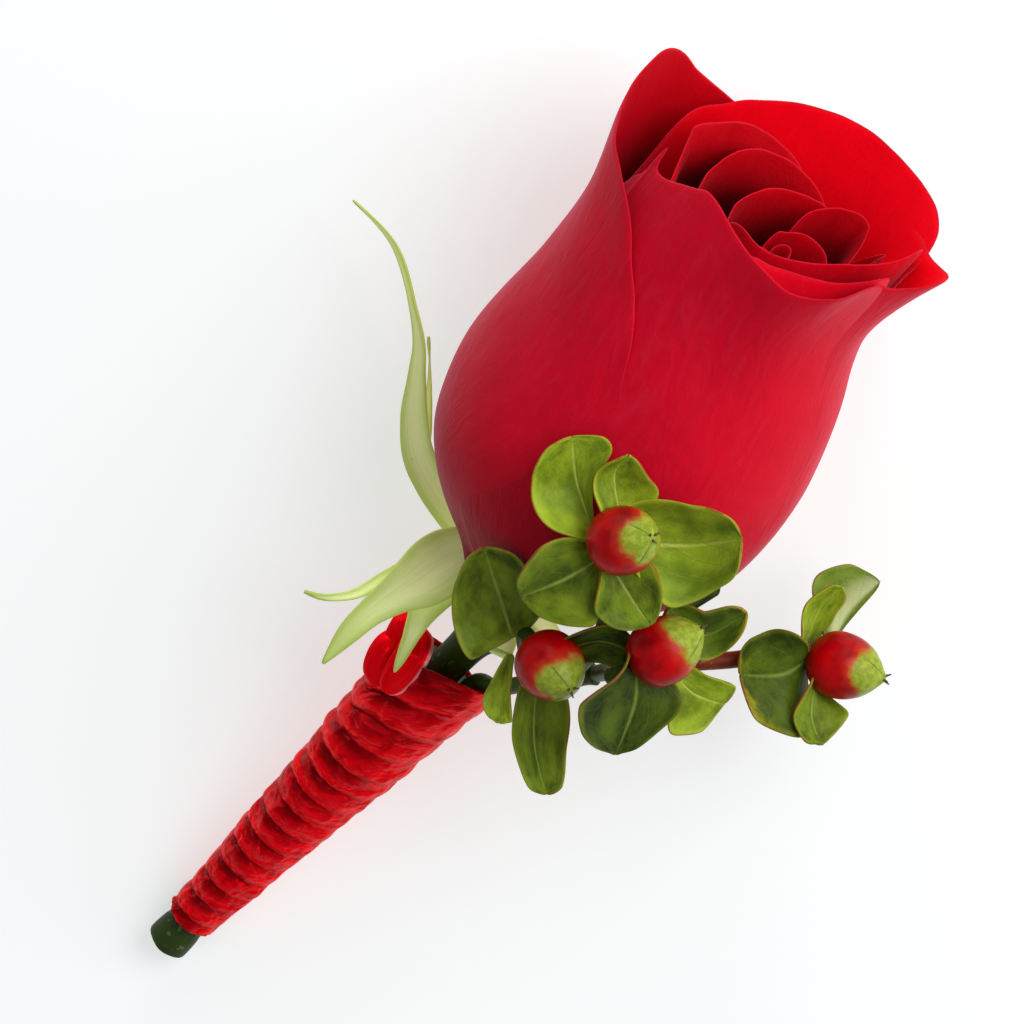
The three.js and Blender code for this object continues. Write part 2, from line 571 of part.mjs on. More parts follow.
function stemBinding() {
  const outside = (distance) => [stemAt(distance), stemLine, boreAt(distance) - GAP];
  const sleeve = solid(tubeThrough([outside(BINDING.top), outside(BINDING.bottom)], 24));
  const reach = 4;
  const roseHole = tubeThrough([[stemAt(BINDING.top - reach), stemLine, BORE_BOTTOM],
    [stemAt(BINDING.bottom + reach), stemLine, BORE_BOTTOM]], 16);
  const sprigHole = tubeThrough([BINDING.top - reach, SPRIG_FOOT + GAP].map((distance) =>
    [stemAt(distance).add(SPRIG_OFFSET), stemLine, SPRIG_STEM + BINDING.bore]), 12);
  return geometryFrom(sleeve.subtract(solid(roseHole)).subtract(solid(sprigHole)));
}

// The ribbon's turns overlap like shingles, so each stands a little proud at its upper edge.
function ribbonWrap() {
  const stepsPerRidge = 3;
  const count = WRAP.ridges * stepsPerRidge;
  const sides = 18;
  const [outer, inner] = [[], []];
  const frame = new THREE.Quaternion().setFromUnitVectors(vec(0, 0, 1), stemLine);
  for (let i = 0; i <= count; i += 1) {
    const t = i / count;
    const distance = THREE.MathUtils.lerp(WRAP.bottom, WRAP.top, t);
    const body = THREE.MathUtils.lerp(WRAP.bottomRadius, WRAP.topRadius, t);
    const row = (radiusAt) => Array.from({ length: sides }, (_, k) => {
      const a = (2 * Math.PI * k) / sides;
      return vec(Math.cos(a), Math.sin(a), 0).multiplyScalar(radiusAt(k / sides))
        .applyQuaternion(frame).add(stemAt(distance));
    });
    outer.push(row((around) => {
      const phase = t * WRAP.ridges + around;
      return body - (0.1 + 0.3 * t) * (1 - Math.abs(Math.sin(Math.PI * phase)));
    }));
    if (i === 0 || i === count) inner.push(row(() => boreAt(distance)));
  }
  const points = [...outer.flat(), ...inner.flat()];
  const at = (i, k) => i * sides + (k % sides);
  const triangles = [];
  const quad = (p, q, r, s) => triangles.push([p, q, r], [p, r, s]);
  for (let k = 0; k < sides; k += 1) {
    for (let i = 0; i < count; i += 1) quad(at(i, k), at(i, k + 1), at(i + 1, k + 1), at(i + 1, k));
    quad(at(count, k), at(count, k + 1), at(count + 2, k + 1), at(count + 2, k));
    quad(at(count + 2, k), at(count + 2, k + 1), at(count + 1, k + 1), at(count + 1, k));
    quad(at(count + 1, k), at(count + 1, k + 1), at(0, k + 1), at(0, k));
  }
  const pieces = [solid(geometryOf(points, triangles))];
  for (const { rib, width } of RIBBON_ENDS) {
    pieces.push(solid(blade({ rib: toVectors(rib), faces: [EYE, EYE],
      outline: (t) => (width / 2) * Math.sqrt(Math.max(0.04, 1 - t ** 6)), cup: 0.25, steps: 6 })));
  }
  return geometryFrom(join(pieces));
}

// ---- The assembly ---------------------------------------------------------------------------
const posy = new THREE.Group();

function add(name, geometry, colour, roughness) {
  const material = new THREE.MeshStandardMaterial({ color: colour, roughness, metalness: 0 });
  const mesh = new THREE.Mesh(geometry, material);
  mesh.name = name;
  posy.add(mesh);
}

add("rose_bloom", roseBloom(), COLOURS.petal, 0.6);
add("rose_stem", roseStem(), COLOURS.stem, 0.6);
add("hypericum_sprig", hypericumSprig(), COLOURS.leaf, 0.5);
CLUSTERS.forEach((cluster, i) => {
  add(`hypericum_berry_${i + 1}`, berry(cluster), COLOURS.berry, 0.2);
});
add("stem_binding", stemBinding(), COLOURS.tape, 0.8);
add("ribbon_wrap", ribbonWrap(), COLOURS.ribbon, 0.3);

// Turned to lie: world X runs along the bud, world Z away from the surface.
const left = right.clone().negate();
const lying = new THREE.Matrix4().makeBasis(left.clone().cross(up), left, up).transpose();
posy.quaternion.setFromRotationMatrix(lying);
const restSpot = onBud(0, 0, REST_CENTRE, REST_ASIDE);
posy.position.copy(restSpot.clone().applyQuaternion(posy.quaternion)).negate();
posy.position.z = REST_DROP;

const part = new THREE.Group();
part.add(posy);
export default part;
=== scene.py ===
"""A boutonniere: a half-open red rose and a sprig of hypericum berries, bound in satin ribbon.

The posy is laid out in millimetres as it is looked at (x to the right, y up, z toward the eye,
from the point where the petals leave the rose's hip) and turned into the row frame in metres.
Angles are in degrees. A piece's own surface coordinates run from 0 to 1, across and along it.
"""

from __future__ import annotations

import logging
import math
from dataclasses import dataclass
from enum import Enum
from typing import Any, Callable, Sequence

import bmesh
import bpy
from mathutils import Matrix, Vector, noise


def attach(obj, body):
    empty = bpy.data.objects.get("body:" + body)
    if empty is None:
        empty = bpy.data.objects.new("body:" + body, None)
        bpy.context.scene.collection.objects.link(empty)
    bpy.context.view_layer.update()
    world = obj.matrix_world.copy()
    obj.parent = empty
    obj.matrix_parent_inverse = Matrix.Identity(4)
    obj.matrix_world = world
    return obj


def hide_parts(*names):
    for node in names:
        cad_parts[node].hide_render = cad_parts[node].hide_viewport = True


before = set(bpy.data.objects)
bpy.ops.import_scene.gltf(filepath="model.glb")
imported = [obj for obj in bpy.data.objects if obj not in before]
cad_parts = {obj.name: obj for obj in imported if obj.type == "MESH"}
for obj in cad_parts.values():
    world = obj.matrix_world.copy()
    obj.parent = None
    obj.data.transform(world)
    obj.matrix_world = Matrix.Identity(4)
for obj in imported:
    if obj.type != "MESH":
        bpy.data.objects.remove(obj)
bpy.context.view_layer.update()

logging.basicConfig(level=logging.INFO, format="%(name)s: %(message)s")
LOG = logging.getLogger("boutonniere")

MM = 0.001
WELD = 0.01 * MM
Rows = Sequence[Sequence[float]]
Line = Callable[[float], Vector]
Place = Callable[[float, float], Vector]
Spot = tuple[float, float, float]
Colour = tuple[float, float, float]


# ---- Curves through tables of numbers ----------------------------------------------------------
def clamp(x: float) -> float:
    """x, held between 0 and 1."""
    return min(max(x, 0.0), 1.0)


def cubic(p1: float, p2: float, m1: float, m2: float, f: float) -> float:
    """The value on a smooth curve between two values.

    Args:
        p1: Value at its start.
        p2: Value at its end.
        m1: Slope at its start.
        m2: Slope at its end.
        f: Place on the curve, from 0 to 1.

    Returns:
        The value there.
    """
    return p1 + f * (m1 + f * (3 * (p2 - p1) - 2 * m1 - m2 + f * (2 * (p1 - p2) + m1 + m2)))


def through(rows: Rows, t: float) -> list[float]:
    """A smooth curve through rows of numbers.

    Args:
        rows: The rows, evenly spaced along the curve.
        t: Place on the curve, from 0 to 1.

    Returns:
        The row at t.
    """
    last = len(rows) - 1
    at = clamp(t) * last
    i = min(int(at), last - 1)
    near_by = [rows[min(max(k, 0), last)] for k in range(i - 1, i + 3)]
    return [cubic(b, c, (c - a) / 2, (d - b) / 2, at - i) for a, b, c, d in zip(*near_by)]


def along(pairs: Rows, x: float) -> float:
    """The value at x on a smooth line through [x, value] pairs.

    Args:
        pairs: The pairs, with x rising.
        x: Where to read the line.

    Returns:
        The value at x, and the end's own value outside the pairs.
    """
    last = len(pairs) - 1
    i = 0
    while i < last - 1 and x > pairs[i + 1][0]:
        i += 1

    def slope(k: int) -> float:
        """The line's slope at pair k."""
        a, b = pairs[max(k - 1, 0)], pairs[min(k + 1, last)]
        return (b[1] - a[1]) / (b[0] - a[0])

    (x1, p1), (x2, p2) = pairs[i], pairs[i + 1]
    width = x2 - x1
    return cubic(p1, p2, slope(i) * width, slope(i + 1) * width, clamp((x - x1) / width))


def smooth(x: float, low: float, high: float) -> float:
    """A smooth step from 0 at low to 1 at high; low may be the larger."""
    f = clamp((x - low) / (high - low))
    return f * f * (3 - 2 * f)


def ripple(point: Vector, seed: float, scale: float) -> float:
    """Smooth noise from -1 to 1 at a point, its features `scale` millimetres across."""
    return noise.noise(point / scale + Vector((seed * 17.3, seed * 5.1, seed * 9.7)))


# ---- How the posy lies -------------------------------------------------------------------------
def direction(turn: float, lean: float) -> Vector:
    """A unit vector turned from x toward y and leaned toward the eye."""
    t, b = math.radians(turn), math.radians(lean)
    return Vector((math.cos(b) * math.cos(t), math.cos(b) * math.sin(t), math.sin(b)))


@dataclass(frozen=True)
class Lay:
    """The posy's directions, and how it lies on the table.

    Attributes:
        rose_turn: How far the bud is turned from x toward y.
        rose_lean: How far it leans toward the eye.
        stem_turn: The same turn for the stem.
        stem_lean: The same lean for the stem.
        rest_rise: How far the bud's mouth is raised from the table.
        rest_drop: From the hip down to the table.
        rest_centre: From the hip to the resting spot, along the bud.
        rest_aside: The resting spot's shift to the right.
        stem_start: Where the stem's line passes the hip.
    """

    rose_turn: float = 54.0
    rose_lean: float = 32.0
    stem_turn: float = 45.0
    stem_lean: float = 33.0
    rest_rise: float = 10.0
    rest_drop: float = 15.6
    rest_centre: float = 25.18
    rest_aside: float = -0.04
    stem_start: Spot = (0.9, -0.9, 0.3)

    @property
    def bud(self) -> Vector:
        """Along the bud, from the hip to its mouth."""
        return direction(self.rose_turn, self.rose_lean)

    @property
    def right(self) -> Vector:
        """Across the bud, to the right."""
        return direction(self.rose_turn - 90, 0)

    @property
    def near(self) -> Vector:
        """The side of the bud that faces the eye."""
        return self.right.cross(self.bud)

    @property
    def stem(self) -> Vector:
        """Along the stem, toward the bud."""
        return direction(self.stem_turn, self.stem_lean)

    @property
    def stem_side(self) -> Vector:
        """Across the stem, to the right."""
        return direction(self.stem_turn - 90, 0)

    @property
    def up(self) -> Vector:
        """Away from the table."""
        rise = math.radians(self.rest_rise)
        return self.bud * math.sin(rise) + self.near * math.cos(rise)

    def row_matrix(self) -> Matrix:
        """Millimetres as the posy is looked at, to metres in the row frame.

        Returns:
            The 4 by 4 matrix.
        """
        left = -self.right
        turn = Matrix((left.cross(self.up), left, self.up))
        rest = self.bud * self.rest_centre + self.right * self.rest_aside
        shift = -(turn @ rest)
        shift.z = self.rest_drop
        return Matrix.Scale(MM, 4) @ Matrix.Translation(shift) @ turn.to_4x4()


LAY = Lay()
BUD, RIGHT, NEAR, STEM_LINE, UP = LAY.bud, LAY.right, LAY.near, LAY.stem, LAY.up
EYE = Vector((0, 0, 1))
STEM_TURN = STEM_LINE.to_track_quat("Z", "Y").to_matrix()
ROW = LAY.row_matrix()

BUD_PROFILE = [
    [0, 4.2], [4, 7.2], [9, 12.2], [15, 16.9], [20, 18.6], [26, 19.2], [33, 18.8], [42, 17.2],
    [51, 15.6], [60, 15.3], [70, 15.3],
]
BUD_SAG = 1.027
BUD_BULGE = 0.35
BUD_BEND = -2.0


def on_bud(turn: float, radius: float, height: float) -> Vector:
    """A point of the bud.

    Args:
        turn: Degrees round the bud: 0 faces the eye, 90 is on the right.
        radius: Distance from the bud's line.
        height: Distance above the hip.

    Returns:
        The point, in millimetres as the posy is looked at.
    """
    a = math.radians(turn)
    bulge = BUD_BULGE * smooth(height, 14, 30) * smooth(height, 54, 42)
    bend = BUD_BEND * smooth(height, 36, 58)
    depth = radius * math.cos(a)
    return (BUD * height + NEAR * depth * (BUD_SAG if depth < 0 else 1)
            + RIGHT * (radius * math.sin(a) + bend + bulge))


def stem_at(distance: float) -> Vector:
    """The point of the stem's line that far below the hip."""
    return Vector(LAY.stem_start) - STEM_LINE * distance


# ---- Shader maths ------------------------------------------------------------------------------
def maths(operation: str, swapped: bool = False) -> Callable[..., Wire]:
    """A method of Wire that adds a Math node.

    Args:
        operation: The node's operation.
        swapped: Whether the wire comes after the other value.

    Returns:
        The method.
    """
    def method(wire: Wire, *others: Any) -> Wire:
        """The Math node's result."""
        values = (*others, wire) if swapped else (wire, *others)
        return wire.paint.node("ShaderNodeMath", {"operation": operation},
                               dict(enumerate(values)))
    return method


@dataclass(frozen=True)
class Wire:
    """A socket that can be used in Python expressions; each operation adds a Math node.

    Attributes:
        paint: The material that it belongs to.
        socket: The output that it stands for.
    """

    paint: Paint
    socket: Any

    __add__ = __radd__ = maths("ADD")
    __sub__ = maths("SUBTRACT")
    __rsub__ = maths("SUBTRACT", swapped=True)
    __mul__ = __rmul__ = maths("MULTIPLY")
    __truediv__ = maths("DIVIDE")
    __abs__ = maths("ABSOLUTE")
    wave = maths("SINE")
    least = maths("MINIMUM")
    most = maths("MAXIMUM")

    def step(self, low: float, high: float) -> Wire:
        """A smooth step from 0 to 1.

        Args:
            low: Where it starts.
            high: Where it ends; it may be the smaller.

        Returns:
            The step's height.
        """
        settings = {"interpolation_type": "SMOOTHSTEP"}
        if low <= high:
            return self.paint.node("ShaderNodeMapRange", settings, {0: self, 1: low, 2: high})
        return 1 - self.step(high, low)


class Paint:
    """The node tree of one material."""

    def __init__(self, name: str) -> None:
        """Starts a material.

        Args:
            name: The material's name.
        """
        self.material = bpy.data.materials.new(name)
        self.material.use_nodes = True
        self.tree = self.material.node_tree
        self.tree.nodes.clear()

    def node(self, kind: str, settings: dict[str, Any], inputs: dict[int | str, Any],
             out: int | str = 0) -> Wire:
        """Adds a node.

        Args:
            kind: The node's type.
            settings: Its settings, set first.
            inputs: Values or wires of its sockets, by number or name.
            out: The output to use.

        Returns:
            That output.
        """
        made = self.tree.nodes.new(kind)
        for key, value in settings.items():
            setattr(made, key, value)
        for key, value in inputs.items():
            socket = made.inputs[key]
            if isinstance(value, Wire):
                self.tree.links.new(value.socket, socket)
            else:
                socket.default_value = (*value, 1.0) if socket.type == "RGBA" else value
        return Wire(self, made.outputs[out])

    def coordinate(self, name: str) -> Wire:
        """An output of Texture Coordinate, such as UV or Object."""
        return self.node("ShaderNodeTexCoord", {}, {}, name)

    def uv(self) -> tuple[Wire, Wire]:
        """The piece's own surface coordinates: across and along."""
        parts = self.node("ShaderNodeSeparateXYZ", {}, {0: self.coordinate("UV")})
        return parts, Wire(self, parts.socket.node.outputs[1])

    def vector(self, x: Any, y: Any, z: Any) -> Wire:
        """A vector from three values or wires."""
        return self.node("ShaderNodeCombineXYZ", {}, {0: x, 1: y, 2: z})

    def noise(self, vector: Wire, scale: float = 1.0, detail: float = 2.0, rough: float = 0.5,
              twist: float = 0.0) -> Wire:
        """Noise from 0 to 1.

        Args:
            vector: Where it is read.
            scale: How fine it is.
            detail: Octaves.
            rough: Share of the finer octaves.
            twist: Distortion.

        Returns:
            The noise.
        """
        return self.node("ShaderNodeTexNoise", {}, {
            "Vector": vector, "Scale": scale, "Detail": detail, "Roughness": rough,
            "Distortion": twist})

    def mix(self, share: Any, a: Any, b: Any) -> Wire:
        """Mixes two colours.

        Args:
            share: From 0, a, to 1, b.
            a: First colour.
            b: Second colour.

        Returns:
            The mixed colour.
        """
        return self.node("ShaderNodeMix", {"data_type": "RGBA"}, {0: share, 6: a, 7: b}, 2)

    def bump(self, height: Wire, depth: float, strength: float, under: Wire | None = None
             ) -> Wire:
        """A bump.

        Args:
            height: Its height, from 0 to 1.
            depth: What 1 stands for, in millimetres.
            strength: How much of it shows.
            under: Another bump below this one.

        Returns:
            The normal.
        """
        below = {} if under is None else {"Normal": under}
        return self.node("ShaderNodeBump", {}, {
            "Height": height, "Distance": depth * MM, "Strength": strength, **below})

    def finish(self, **inputs: Any) -> bpy.types.Material:
        """Ends the tree with a Principled shader.

        Args:
            **inputs: Its sockets, with _ for each space in their names.

        Returns:
            The material.
        """
        named = {key.replace("_", " "): value for key, value in inputs.items()}
        shader = self.node("ShaderNodeBsdfPrincipled", {}, named)
        end = self.tree.nodes.new("ShaderNodeOutputMaterial")
        self.tree.links.new(shader.socket, end.inputs[0])
        return self.material


def srgb(red: int, green: int, blue: int) -> Colour:
    """A colour as the linear values that shaders take.

    Args:
        red: Its red, from 0 to 255.
        green: Its green.
        blue: Its blue.

    Returns:
        The values.
    """
    def linear(value: int) -> float:
        """One channel."""
        v = value / 255
        return v / 12.92 if v <= 0.04045 else ((v + 0.055) / 1.055) ** 2.4
    return linear(red), linear(green), linear(blue)


# ---- Finishes ----------------------------------------------------------------------------------
@dataclass(frozen=True)
class PetalFinish:
    """A velvety rose petal: fine veins run from its claw to its margin.

    Attributes:
        name: The material's name.
        body: Its main colour.
        deep: The colour near its claw and between its veins; near the claw it is partly painted
            shade.
        edge: The paler colour of its fibres and creases.
        sheen: How much its velvet catches light at a glance.
        seed: Picks its own pattern.
        shade: The shares of its length between which it darkens toward its claw: painted shade,
            with some of the petal's own deeper red.
        darkest: How much of the deep colour its claw takes, and so how strong that painted shade
            is.
        through: How strongly it glows: painted light standing in for light that comes through it
            from behind.
    """

    name: str
    body: Colour
    deep: Colour
    edge: Colour
    sheen: float
    seed: float = 0.0
    shade: tuple[float, float] = (0.55, 0.02)
    darkest: float = 0.75
    through: float = 0.0

    def build(self) -> bpy.types.Material:
        """Makes the material.

        Returns:
            The material.
        """
        p = Paint(self.name)
        u, v = p.uv()
        cloud = p.noise(p.vector(u * 5 + self.seed, v * 4, self.seed), 1.0, 3.0, 0.55)
        fibre = p.noise(p.vector(u * 130 + self.seed, v * 7, self.seed), 1.0, 3.0, 0.6, 0.4)
        vein = p.noise(p.vector(u * 34 + self.seed, v * 3, 4.0), 1.0, 2.0, 0.5, 0.8)
        ridge = 1 - (abs(vein - 0.5) * 9).least(1.0)
        crease = p.noise(p.vector(u * 26 + self.seed, v * 9, 7.0), 1.0, 4.0, 0.6, 1.6)
        # Painted shade, with some of the petal's own deeper red: the petal darkens toward its
        # claw.
        low = v.step(*self.shade)
        colour = p.mix(low * self.darkest, self.body, self.deep)
        colour = p.mix((cloud - 0.35) * 0.5, colour, self.deep)
        colour = p.mix(ridge * 0.06, colour, self.deep)
        colour = p.mix((fibre - 0.5).most(0.0) * 0.08, colour, self.edge)
        colour = p.mix((crease - 0.52).most(0.0) * (low * 0.2 + 0.2), colour, self.edge)
        normal = p.bump(cloud, 0.6, 0.4)
        normal = p.bump(crease, 0.28, 0.45, normal)
        normal = p.bump(ridge * 0.5 + fibre * 0.5, 0.04, 0.25, normal)
        # Emission Strength makes the petal glow: painted light standing in for light shining
        # through it from behind.
        return p.finish(Base_Color=colour, Roughness=0.52 + fibre * 0.14, Normal=normal,
                        Sheen_Weight=self.sheen, Sheen_Roughness=0.32,
                        Sheen_Tint=(1.0, 0.46, 0.66), Specular_IOR_Level=0.06,
                        Emission_Color=colour, Emission_Strength=self.through)


class Tone(Enum):
    """A leaf's greens: its main one, its darkest, the one at its root and that of its veins, which
    one tone also spreads as a painted highlight.
    """

    FRESH = (srgb(148, 170, 36), srgb(90, 112, 14), srgb(188, 196, 56), srgb(192, 204, 92))
    PLAIN = (srgb(116, 138, 28), srgb(60, 76, 10), srgb(164, 174, 46), srgb(160, 176, 76))
    # This tone is painted shade: it is given to leaves that lie in shadow.
    DARK = (srgb(72, 92, 16), srgb(24, 30, 4), srgb(146, 162, 34), srgb(130, 150, 56))
    # This tone is a painted highlight: its very pale vein green is spread over a wide band along
    # the midrib, standing in for sheen on a curled leaf.
    PAINTED_SHEEN = (srgb(112, 136, 44), srgb(80, 102, 22), srgb(150, 168, 60), srgb(208, 214, 160))
    WORN = (srgb(88, 110, 18), srgb(46, 62, 8), srgb(160, 160, 34), srgb(140, 160, 70))


@dataclass(frozen=True)
class LeafFinish:
    """A waxy leaf with a pale midrib, netted side veins and a thin coloured margin.

    Attributes:
        name: The material's name.
        tone: Its greens.
        seed: Picks its own pattern.
        margin: The colour of its edge.
        branches: Side veins on each side.
    """

    name: str
    tone: Tone
    seed: float
    margin: Colour = srgb(142, 66, 30)
    branches: float = 5.0

    def build(self) -> bpy.types.Material:
        """Makes the material.

        Returns:
            The material.
        """
        p = Paint(self.name)
        body, deep, base, pale = self.tone.value
        u, v = p.uv()
        side = abs(u - 0.5) * 2
        cloud = p.noise(p.vector(u * 2.6 + self.seed, v * 3.4, self.seed), 1.0, 4.0, 0.6)
        grain = p.noise(p.vector(u * 60, v * 60, self.seed), 1.0, 3.0, 0.6)
        shift = (cloud - 0.5) * 0.12
        # A leaf of the sheen tone gets a wide pale band along its midrib, a painted highlight; the
        # others get a real midrib.
        rib_and_sheen_width, rib_and_sheen_end = (0.62, 0.9) if self.tone is Tone.PAINTED_SHEEN else (0.07, 0.5)
        midrib = side.step(rib_and_sheen_width, 0.0) * v.step(1.02, rib_and_sheen_end)
        comb = ((v - side * 0.5 + shift) * self.branches * math.pi).wave()
        branch = abs(comb).step(0.1, 0.0) * side.step(0.96, 0.4)
        net = p.node("ShaderNodeTexVoronoi", {"feature": "DISTANCE_TO_EDGE"}, {
            "Vector": p.vector(u * 7 + self.seed, v * 9, 0.0), "Scale": 1.0})
        mesh = net.step(0.06, 0.0)
        colour = p.mix(cloud.step(0.3, 0.68), deep, body)
        colour = p.mix(v.step(0.3, 0.0) * side.step(1.1, 0.0) * 0.9, colour, base)
        colour = p.mix(mesh * 0.04, colour, pale)
        colour = p.mix(branch * 0.26, colour, pale)
        colour = p.mix(midrib * 0.6, colour, pale)
        if self.tone is Tone.WORN:
            worn = (v * 0.9 + side * 0.35 + (cloud - 0.5) * 0.9).step(0.84, 1.1)
            colour = p.mix(worn * 0.7, colour, srgb(184, 168, 34))
            colour = p.mix((worn * grain).step(0.42, 0.56) * 0.7, colour, srgb(104, 54, 16))
        edge = side + shift
        colour = p.mix(edge.step(0.84, 0.98) * 0.3, colour, base)
        rim = edge.step(0.965, 1.0).most((v + shift * 0.5).step(0.965, 1.0))
        colour = p.mix(rim * (cloud.step(0.4, 0.58) * 0.75 + 0.1), colour, self.margin)
        normal = p.bump(midrib * -0.8 - branch * 0.5 - mesh * 0.12 + cloud * 1.6, 0.22, 0.6)
        normal = p.bump(grain, 0.03, 0.5, normal)
        return p.finish(Base_Color=colour, Roughness=0.4 + cloud * 0.16, Normal=normal,
                        Specular_IOR_Level=0.12)




@dataclass(frozen=True)
class SepalFinish:
    """A pale sepal, nearly white down its middle and greener at its edges and tip."""

    name: str = "sepal_green"
    pale: Colour = srgb(240, 250, 176)
    green: Colour = srgb(188, 210, 100)
    tip: Colour = srgb(132, 158, 54)

    def build(self) -> bpy.types.Material:
        """Makes the material.

        Returns:
            The material.
        """
        p = Paint(self.name)
        u, v = p.uv()
        side = abs(u - 0.5) * 2
        cloud = p.noise(p.vector(u * 3, v * 5, 1.0), 1.0, 3.0, 0.55)
        line = p.noise(p.vector(u * 26, v * 2.2, 3.0), 1.0, 3.0, 0.55, 0.3)
        colour = p.mix((side + (cloud - 0.5) * 0.5).step(0.25, 1.05) * 0.85, self.pale, self.green)
        colour = p.mix(v.step(0.45, 1.0) * 0.7, colour, self.tip)
        colour = p.mix((line - 0.45).most(0.0) * 1.5, colour, self.green)
        normal = p.bump(line + cloud * 0.6, 0.16, 0.5)
        # The sepals glow a little through Emission Strength: painted light that makes them paler.
        return p.finish(Base_Color=colour, Roughness=0.5 + cloud * 0.12, Normal=normal,
                        Specular_IOR_Level=0.12, Emission_Color=colour,
                        Emission_Strength=0.14)


@dataclass(frozen=True)
class StalkFinish:
    """A green stem or stalk with fine streaks and a blush.

    Attributes:
        name: The material's name.
        body: Its main colour.
        blush: The colour of its clouds.
        share: How much of that colour they take.
    """

    name: str
    body: Colour
    blush: Colour
    share: float

    def build(self) -> bpy.types.Material:
        """Makes the material.

        Returns:
            The material.
        """
        p = Paint(self.name)
        place = p.coordinate("Object")
        cloud = p.noise(place, 160.0, 3.0, 0.6)
        speck = p.noise(place, 900.0, 2.0, 0.6)
        colour = p.mix(cloud.step(0.62, 0.38) * self.share, self.body, self.blush)
        colour = p.mix(speck.step(0.58, 0.7) * 0.25, colour, srgb(150, 160, 90))
        normal = p.bump(cloud + speck * 0.3, 0.12, 0.5)
        return p.finish(Base_Color=colour, Roughness=0.38 + cloud * 0.15, Normal=normal,
                        Specular_IOR_Level=0.15)


@dataclass(frozen=True)
class BerryFinish:
    """A waxy ripe berry: red, with its tip still green where its seams open.

    Attributes:
        name: The material's name.
        reach: The share of its length that is red.
        seed: How far its seams are turned round it.
        red: The red of its sides.
        dark: The red of its clouds and its foot.
        green: The green of its tip.
        pale: The paler green of the tip's specks.
    """

    name: str
    reach: float
    seed: float
    red: Colour = srgb(196, 2, 8)
    dark: Colour = srgb(116, 2, 8)
    green: Colour = srgb(110, 132, 20)
    pale: Colour = srgb(160, 172, 66)

    def build(self) -> bpy.types.Material:
        """Makes the material.

        Returns:
            The material.
        """
        p = Paint(self.name)
        u, v = p.uv()
        place = p.coordinate("Object")
        cloud = p.noise(place, 330.0, 3.0, 0.55)
        fine = p.noise(place, 1500.0, 2.0, 0.6)
        lobe = ((u + self.seed) * math.tau * 3).wave()
        ragged = v + lobe * 0.035 + (cloud - 0.5) * 0.26
        ripe = ragged.step(self.reach - 0.05, self.reach + 0.06)
        blush = ragged.step(self.reach - 0.16, self.reach)
        colour = p.mix(cloud.step(0.25, 0.7) * 0.8, self.dark, self.red)
        colour = p.mix(v.step(0.22, 0.0) * 0.6, colour, self.dark)
        green = p.mix(fine.step(0.35, 0.7) * 0.6 + 0.2, self.green, self.pale)
        colour = p.mix(blush * 0.3, colour, srgb(196, 80, 50))
        colour = p.mix(ripe, colour, green)
        seam = abs(((u + self.seed) * math.tau * 1.5).wave()).step(0.12, 0.0)
        colour = p.mix(seam * ripe * v.step(0.7, 0.86) * 0.7, colour, srgb(60, 70, 14))
        normal = p.bump(cloud + fine * 0.08 - seam * ripe * 0.8, 0.12, 0.35)
        return p.finish(Base_Color=colour, Roughness=0.26 + cloud * 0.12, Normal=normal,
                        Specular_IOR_Level=0.1, Coat_Weight=0.03, Coat_Roughness=0.12)


@dataclass(frozen=True)
class DryFinish:
    """Dry, dark tissue, such as the styles at a berry's point."""

    name: str
    body: Colour = srgb(48, 34, 16)

    def build(self) -> bpy.types.Material:
        """Makes the material.

        Returns:
            The material.
        """
        p = Paint(self.name)
        cloud = p.noise(p.coordinate("Object"), 900.0, 3.0, 0.6)
        colour = p.mix(cloud, self.body, srgb(96, 84, 40))
        return p.finish(Base_Color=colour, Roughness=0.6 + cloud * 0.2)


